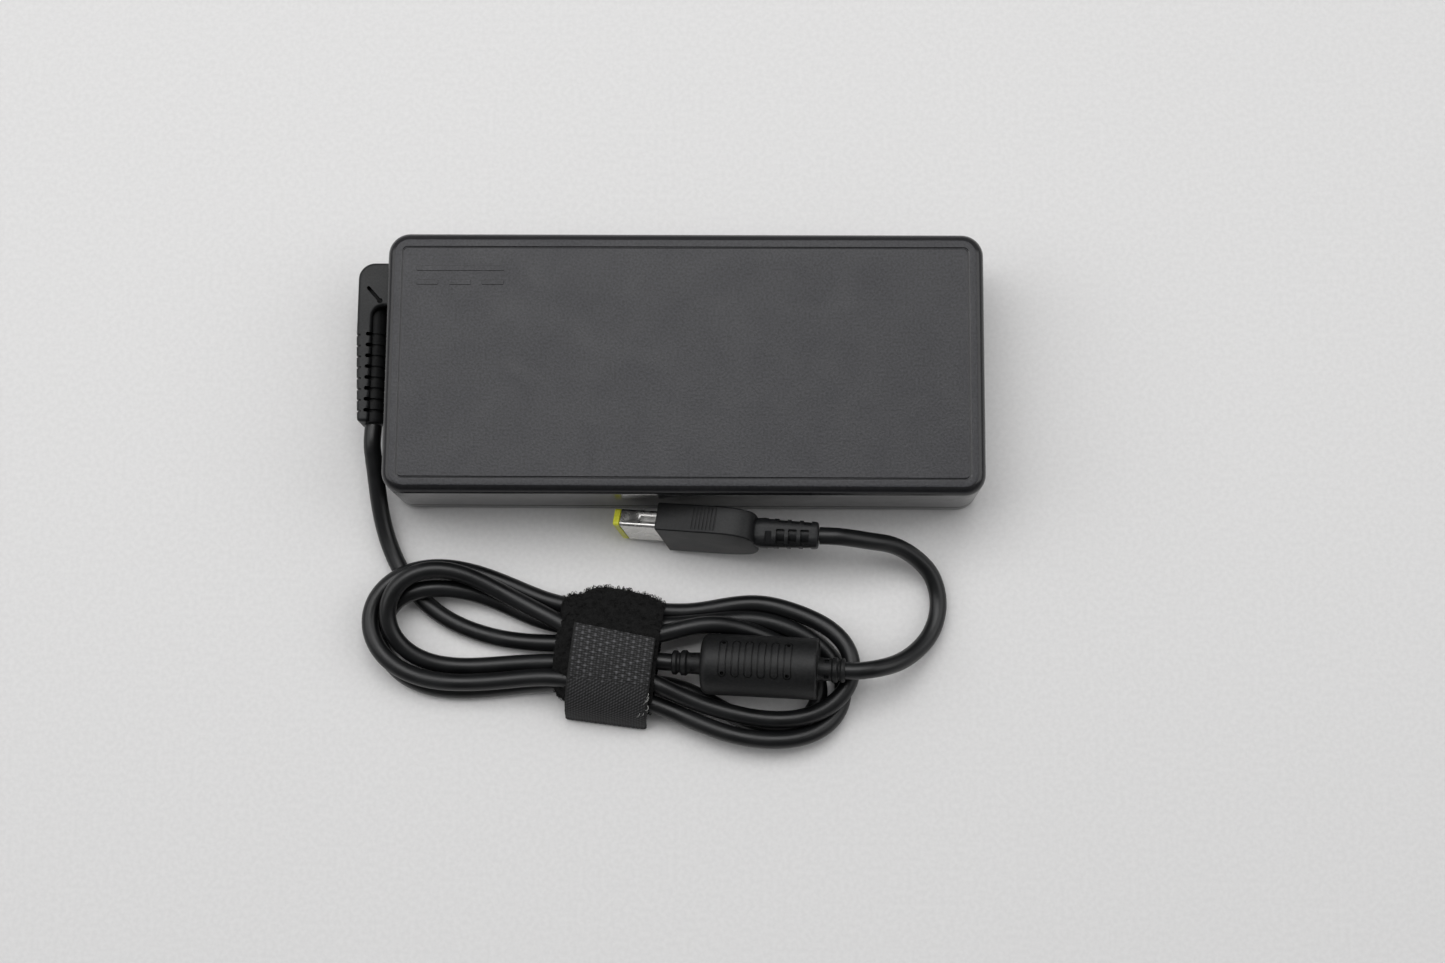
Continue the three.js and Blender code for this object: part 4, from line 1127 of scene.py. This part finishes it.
def woven_band():
    """The woven outer layer, from its end on top, over the front and down to the tail."""
    path, outward = band_path()
    along = np.arange(len(path)) * BAND_STEP
    xs = np.linspace(BAND_LEFT, BAND_RIGHT, BAND_COLUMNS)
    grid_x, grid_s = np.meshgrid(xs, along)
    pattern = weave_height(grid_x, grid_s)
    rim = np.minimum(grid_x - BAND_LEFT, BAND_RIGHT - grid_x)
    selvedge = 1 - np.exp(-np.maximum(rim, 0) / 0.35)
    half = 0.5 * BAND_THICKNESS * (0.35 + 0.65 * selvedge)
    jitter = rng.normal(0, 0.035, (len(path), 2))
    mesh = bmesh.new()
    raised = mesh.verts.layers.float.new("raised")
    layers = []
    for lift, share in ((half + 0.17 * pattern * selvedge, pattern * selvedge), (-half, 0 * half)):
        rows = []
        for i in range(len(path)):
            skew = 0.07 * (2.2 - xs) * max(0.0, 1 - along[i] / 9.0)
            row = []
            for k, x in enumerate(xs):
                edge = (jitter[i, 0] if k < 2 else 0) + (jitter[i, 1] if k > len(xs) - 3 else 0)
                over, up = path[i] + outward[i] * lift[i, k]
                vertex = mesh.verts.new((x + edge, over + skew[k], max(up, 0.08)))
                vertex[raised] = share[i, k]
                row.append(vertex)
            rows.append(row)
        layers.append(rows)
    for rows in layers:
        for a, b in zip(rows, rows[1:]):
            for k in range(len(a) - 1):
                mesh.faces.new((a[k], a[k + 1], b[k + 1], b[k]))
    upper, lower = layers
    places = band_rim(len(path), len(xs))
    for (i, k), (m, n) in zip(places, places[1:] + places[:1]):
        mesh.faces.new((upper[i][k], upper[m][n], lower[m][n], lower[i][k]))
    bmesh.ops.recalc_face_normals(mesh, faces=mesh.faces)
    return solid("strap_woven_band", mesh), float(along[-1])


# Between these the band bends from the wrap into the tail that peels.
THREAD_STARTS = [
    (12.6, -9.8, 12.5), (12.7, -10.6, 12.1), (12.7, -11.4, 11.7), (12.7, -12.8, 10.8),
    (11.6, -14.4, 9.4), (10.8, -14.6, 9.3), (12.2, -14.0, 9.8), (11.9, -14.8, 9.0),
]


def frayed_threads():
    """Pale threads pulled out of the woven band's right edge near its end."""
    shapes = []
    for k, start in enumerate(THREAD_STARTS):
        point = np.array(start)
        heading = np.array([0.35, -0.8, -0.15]) + rng.normal(0, 0.35, 3)
        path = [point]
        for _ in range(6):
            heading = heading + rng.normal(0, 0.4, 3) + np.array([-0.1, 0, -0.1])
            heading /= np.linalg.norm(heading)
            point = point + heading * 0.3
            path.append(point)
        shapes.append(tube(smooth_line(path, 0.12), 0.06 if k % 3 else 0.09, 6, 0.5))
    return solid("strap_frayed_threads", merge(*shapes))


pile_band, pile_rows, pile_out = pile_shape()
loops = pile_loops(pile_rows, pile_out)
band, band_length = woven_band()
threads = frayed_threads()
for cloth in (pile_band, loops, band, threads):
    finish_shape(cloth, STRAP, 60, even=False)

piece(pile_band, pile, ["strap_wrap"])
piece(loops, pile)
piece(band, weave, ["strap_tail"], body=None)
piece(threads, thread, body=None)
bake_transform(band)
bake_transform(threads)


# ---- inside the case
def part_finish(slot, low, high, roughness, grain=0.5, metallic=0.0, depth=0.02, stretch=(1, 1, 1)):
    """A finish for the parts inside: mottled colour, uneven gloss and a fine relief."""
    finish = Finish(f"inner_{slot}", roughness, metallic)
    finish.grained(
        finish.noise(grain, 4.0, stretch), finish.noise(6.0, 3.0, distortion=0.5), low, high, 0.4,
        (roughness - 0.07, roughness + 0.08), depth)
    return finish


def winding_finish(slot, low, high, pitch, metallic):
    """Turns of wire or tape side by side, with painted shade in the grooves between turns and
    lighter crests.
    """
    finish = Finish(f"inner_{slot}", 0.35, metallic)
    inputs = {"Vector": finish.where, "Scale": 1 / (pitch * MM) / 3.2, "Distortion": 0.4}
    wave = finish.node("ShaderNodeTexWave", inputs, wave_type="BANDS", bands_direction="X")
    # The colour follows the relief's bands: darker in the grooves as painted shade, lighter on the
    # crests.
    finish.colour(finish.ramp(wave.outputs["Fac"], low, high, 0.1, 0.8))
    finish.bump(wave.outputs["Fac"], 0.25)
    return finish


INSIDE = {
    "aluminium": part_finish("aluminium", grey(0.55), grey(0.72), 0.35, 0.4, 1.0, 0.01, (1, 8, 8)),
    "copper": winding_finish("copper", (0.35, 0.12, 0.05), (0.85, 0.42, 0.22), 0.8, 0.9),
    "board_green": part_finish("board", (0.010, 0.075, 0.030), (0.02, 0.13, 0.05), 0.4, 0.9),
    "insulating_paper": part_finish("paper", grey(0.02), grey(0.045), 0.7, 0.3),
    "ferrite": part_finish("ferrite", grey(0.035), grey(0.075), 0.75, 0.25),
    "epoxy_black": part_finish("epoxy", grey(0.008), grey(0.02), 0.45, 0.3),
    "disc_blue": part_finish("disc", (0.02, 0.09, 0.33), (0.04, 0.14, 0.45), 0.4, 0.8),
    "box_yellow": part_finish("box", (0.55, 0.38, 0.03), (0.75, 0.53, 0.06), 0.45, 0.6),
    "can_sleeve": part_finish("can", (0.008, 0.018, 0.06), (0.015, 0.03, 0.10), 0.3, 0.7),
    "winding_tape": winding_finish("tape", (0.50, 0.35, 0.02), (0.80, 0.60, 0.06), 2.5, 0.0),
    "wire_red": part_finish("wire_red", (0.30, 0.01, 0.01), (0.45, 0.02, 0.02), 0.4, 0.5),
    "wire_blue": part_finish("wire_blue", (0.01, 0.06, 0.28), (0.02, 0.10, 0.40), 0.4, 0.5),
    "wire_black": part_finish("wire_black", grey(0.006), grey(0.018), 0.4, 0.5),
    "nickel": pin_finish,
}
# A CAD node's material has the name of its slot in the record.
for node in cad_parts.values():
    for material_slot in node.material_slots:
        if material_slot.material.name in INSIDE:
            material_slot.material = INSIDE[material_slot.material.name].material

# ---- floor and light
FLOOR_HALF, FLOOR_DROP = 1500, 0.02
floor_mesh = bmesh.new()
bmesh.ops.create_grid(floor_mesh, x_segments=8, y_segments=8, size=FLOOR_HALF)
floor = finish_shape(solid("floor", floor_mesh), Matrix.Translation((0, 0, -FLOOR_DROP)))
floor_finish = Finish("floor_paper", 0.6)
fibre = floor_finish.noise(1.2, 4.0)
floor_finish.colour(floor_finish.ramp(fibre, (0.715, 0.71, 0.705), (0.755, 0.75, 0.745)))
floor_finish.bump(fibre, 0.01)
floor.data.materials.append(floor_finish.material)


def softbox(name, place, target, size, watts):
    """A rectangular studio light that faces a target."""
    light = bpy.data.lights.new(name, "AREA")
    light.shape = "RECTANGLE"
    light.size, light.size_y = size
    light.energy = watts
    obj = show(bpy.data.objects.new(name, light))
    obj.location = place
    obj.rotation_euler = (Vector(target) - Vector(place)).to_track_quat("-Z", "Y").to_euler()


softbox("back_panel", (-0.10, 0.36, 1.06), (0, -0.04, 0), (1.0, 0.68), 7.0)
softbox("left_panel", (-0.95, 0.10, 0.85), (0, -0.03, 0), (0.9, 0.9), 3.8)
softbox("right_panel", (0.95, 0.10, 0.85), (0, -0.03, 0), (0.9, 0.9), 3.7)


FRONT_STRENGTH, BACK_STRENGTH, HORIZON_STRENGTH = 0.05, 0.38, 0.45


def studio():
    """A pale room, darker above the front, with an even pale band round the horizon."""
    world = bpy.data.worlds.new("studio")
    world.use_nodes = True
    tree = world.node_tree
    background = tree.nodes["Background"]
    coordinates = tree.nodes.new("ShaderNodeTexCoord").outputs["Generated"]
    split = add_node(tree, "ShaderNodeSeparateXYZ", {"Vector": coordinates})
    room = map_range(tree, split.outputs["Y"], -0.9, 0.5, FRONT_STRENGTH, BACK_STRENGTH)
    horizon = map_range(tree, split.outputs["Z"], 0.16, 0.26, HORIZON_STRENGTH, 0.0)
    lighter = add_node(tree, "ShaderNodeMath", {0: room, 1: horizon}, operation="MAXIMUM")
    tree.links.new(lighter.outputs["Value"], background.inputs["Strength"])
    background.inputs["Color"].default_value = (0.98, 0.98, 1.0, 1)
    bpy.context.scene.world = world


studio()
bpy.context.scene.view_settings.view_transform = "Standard"
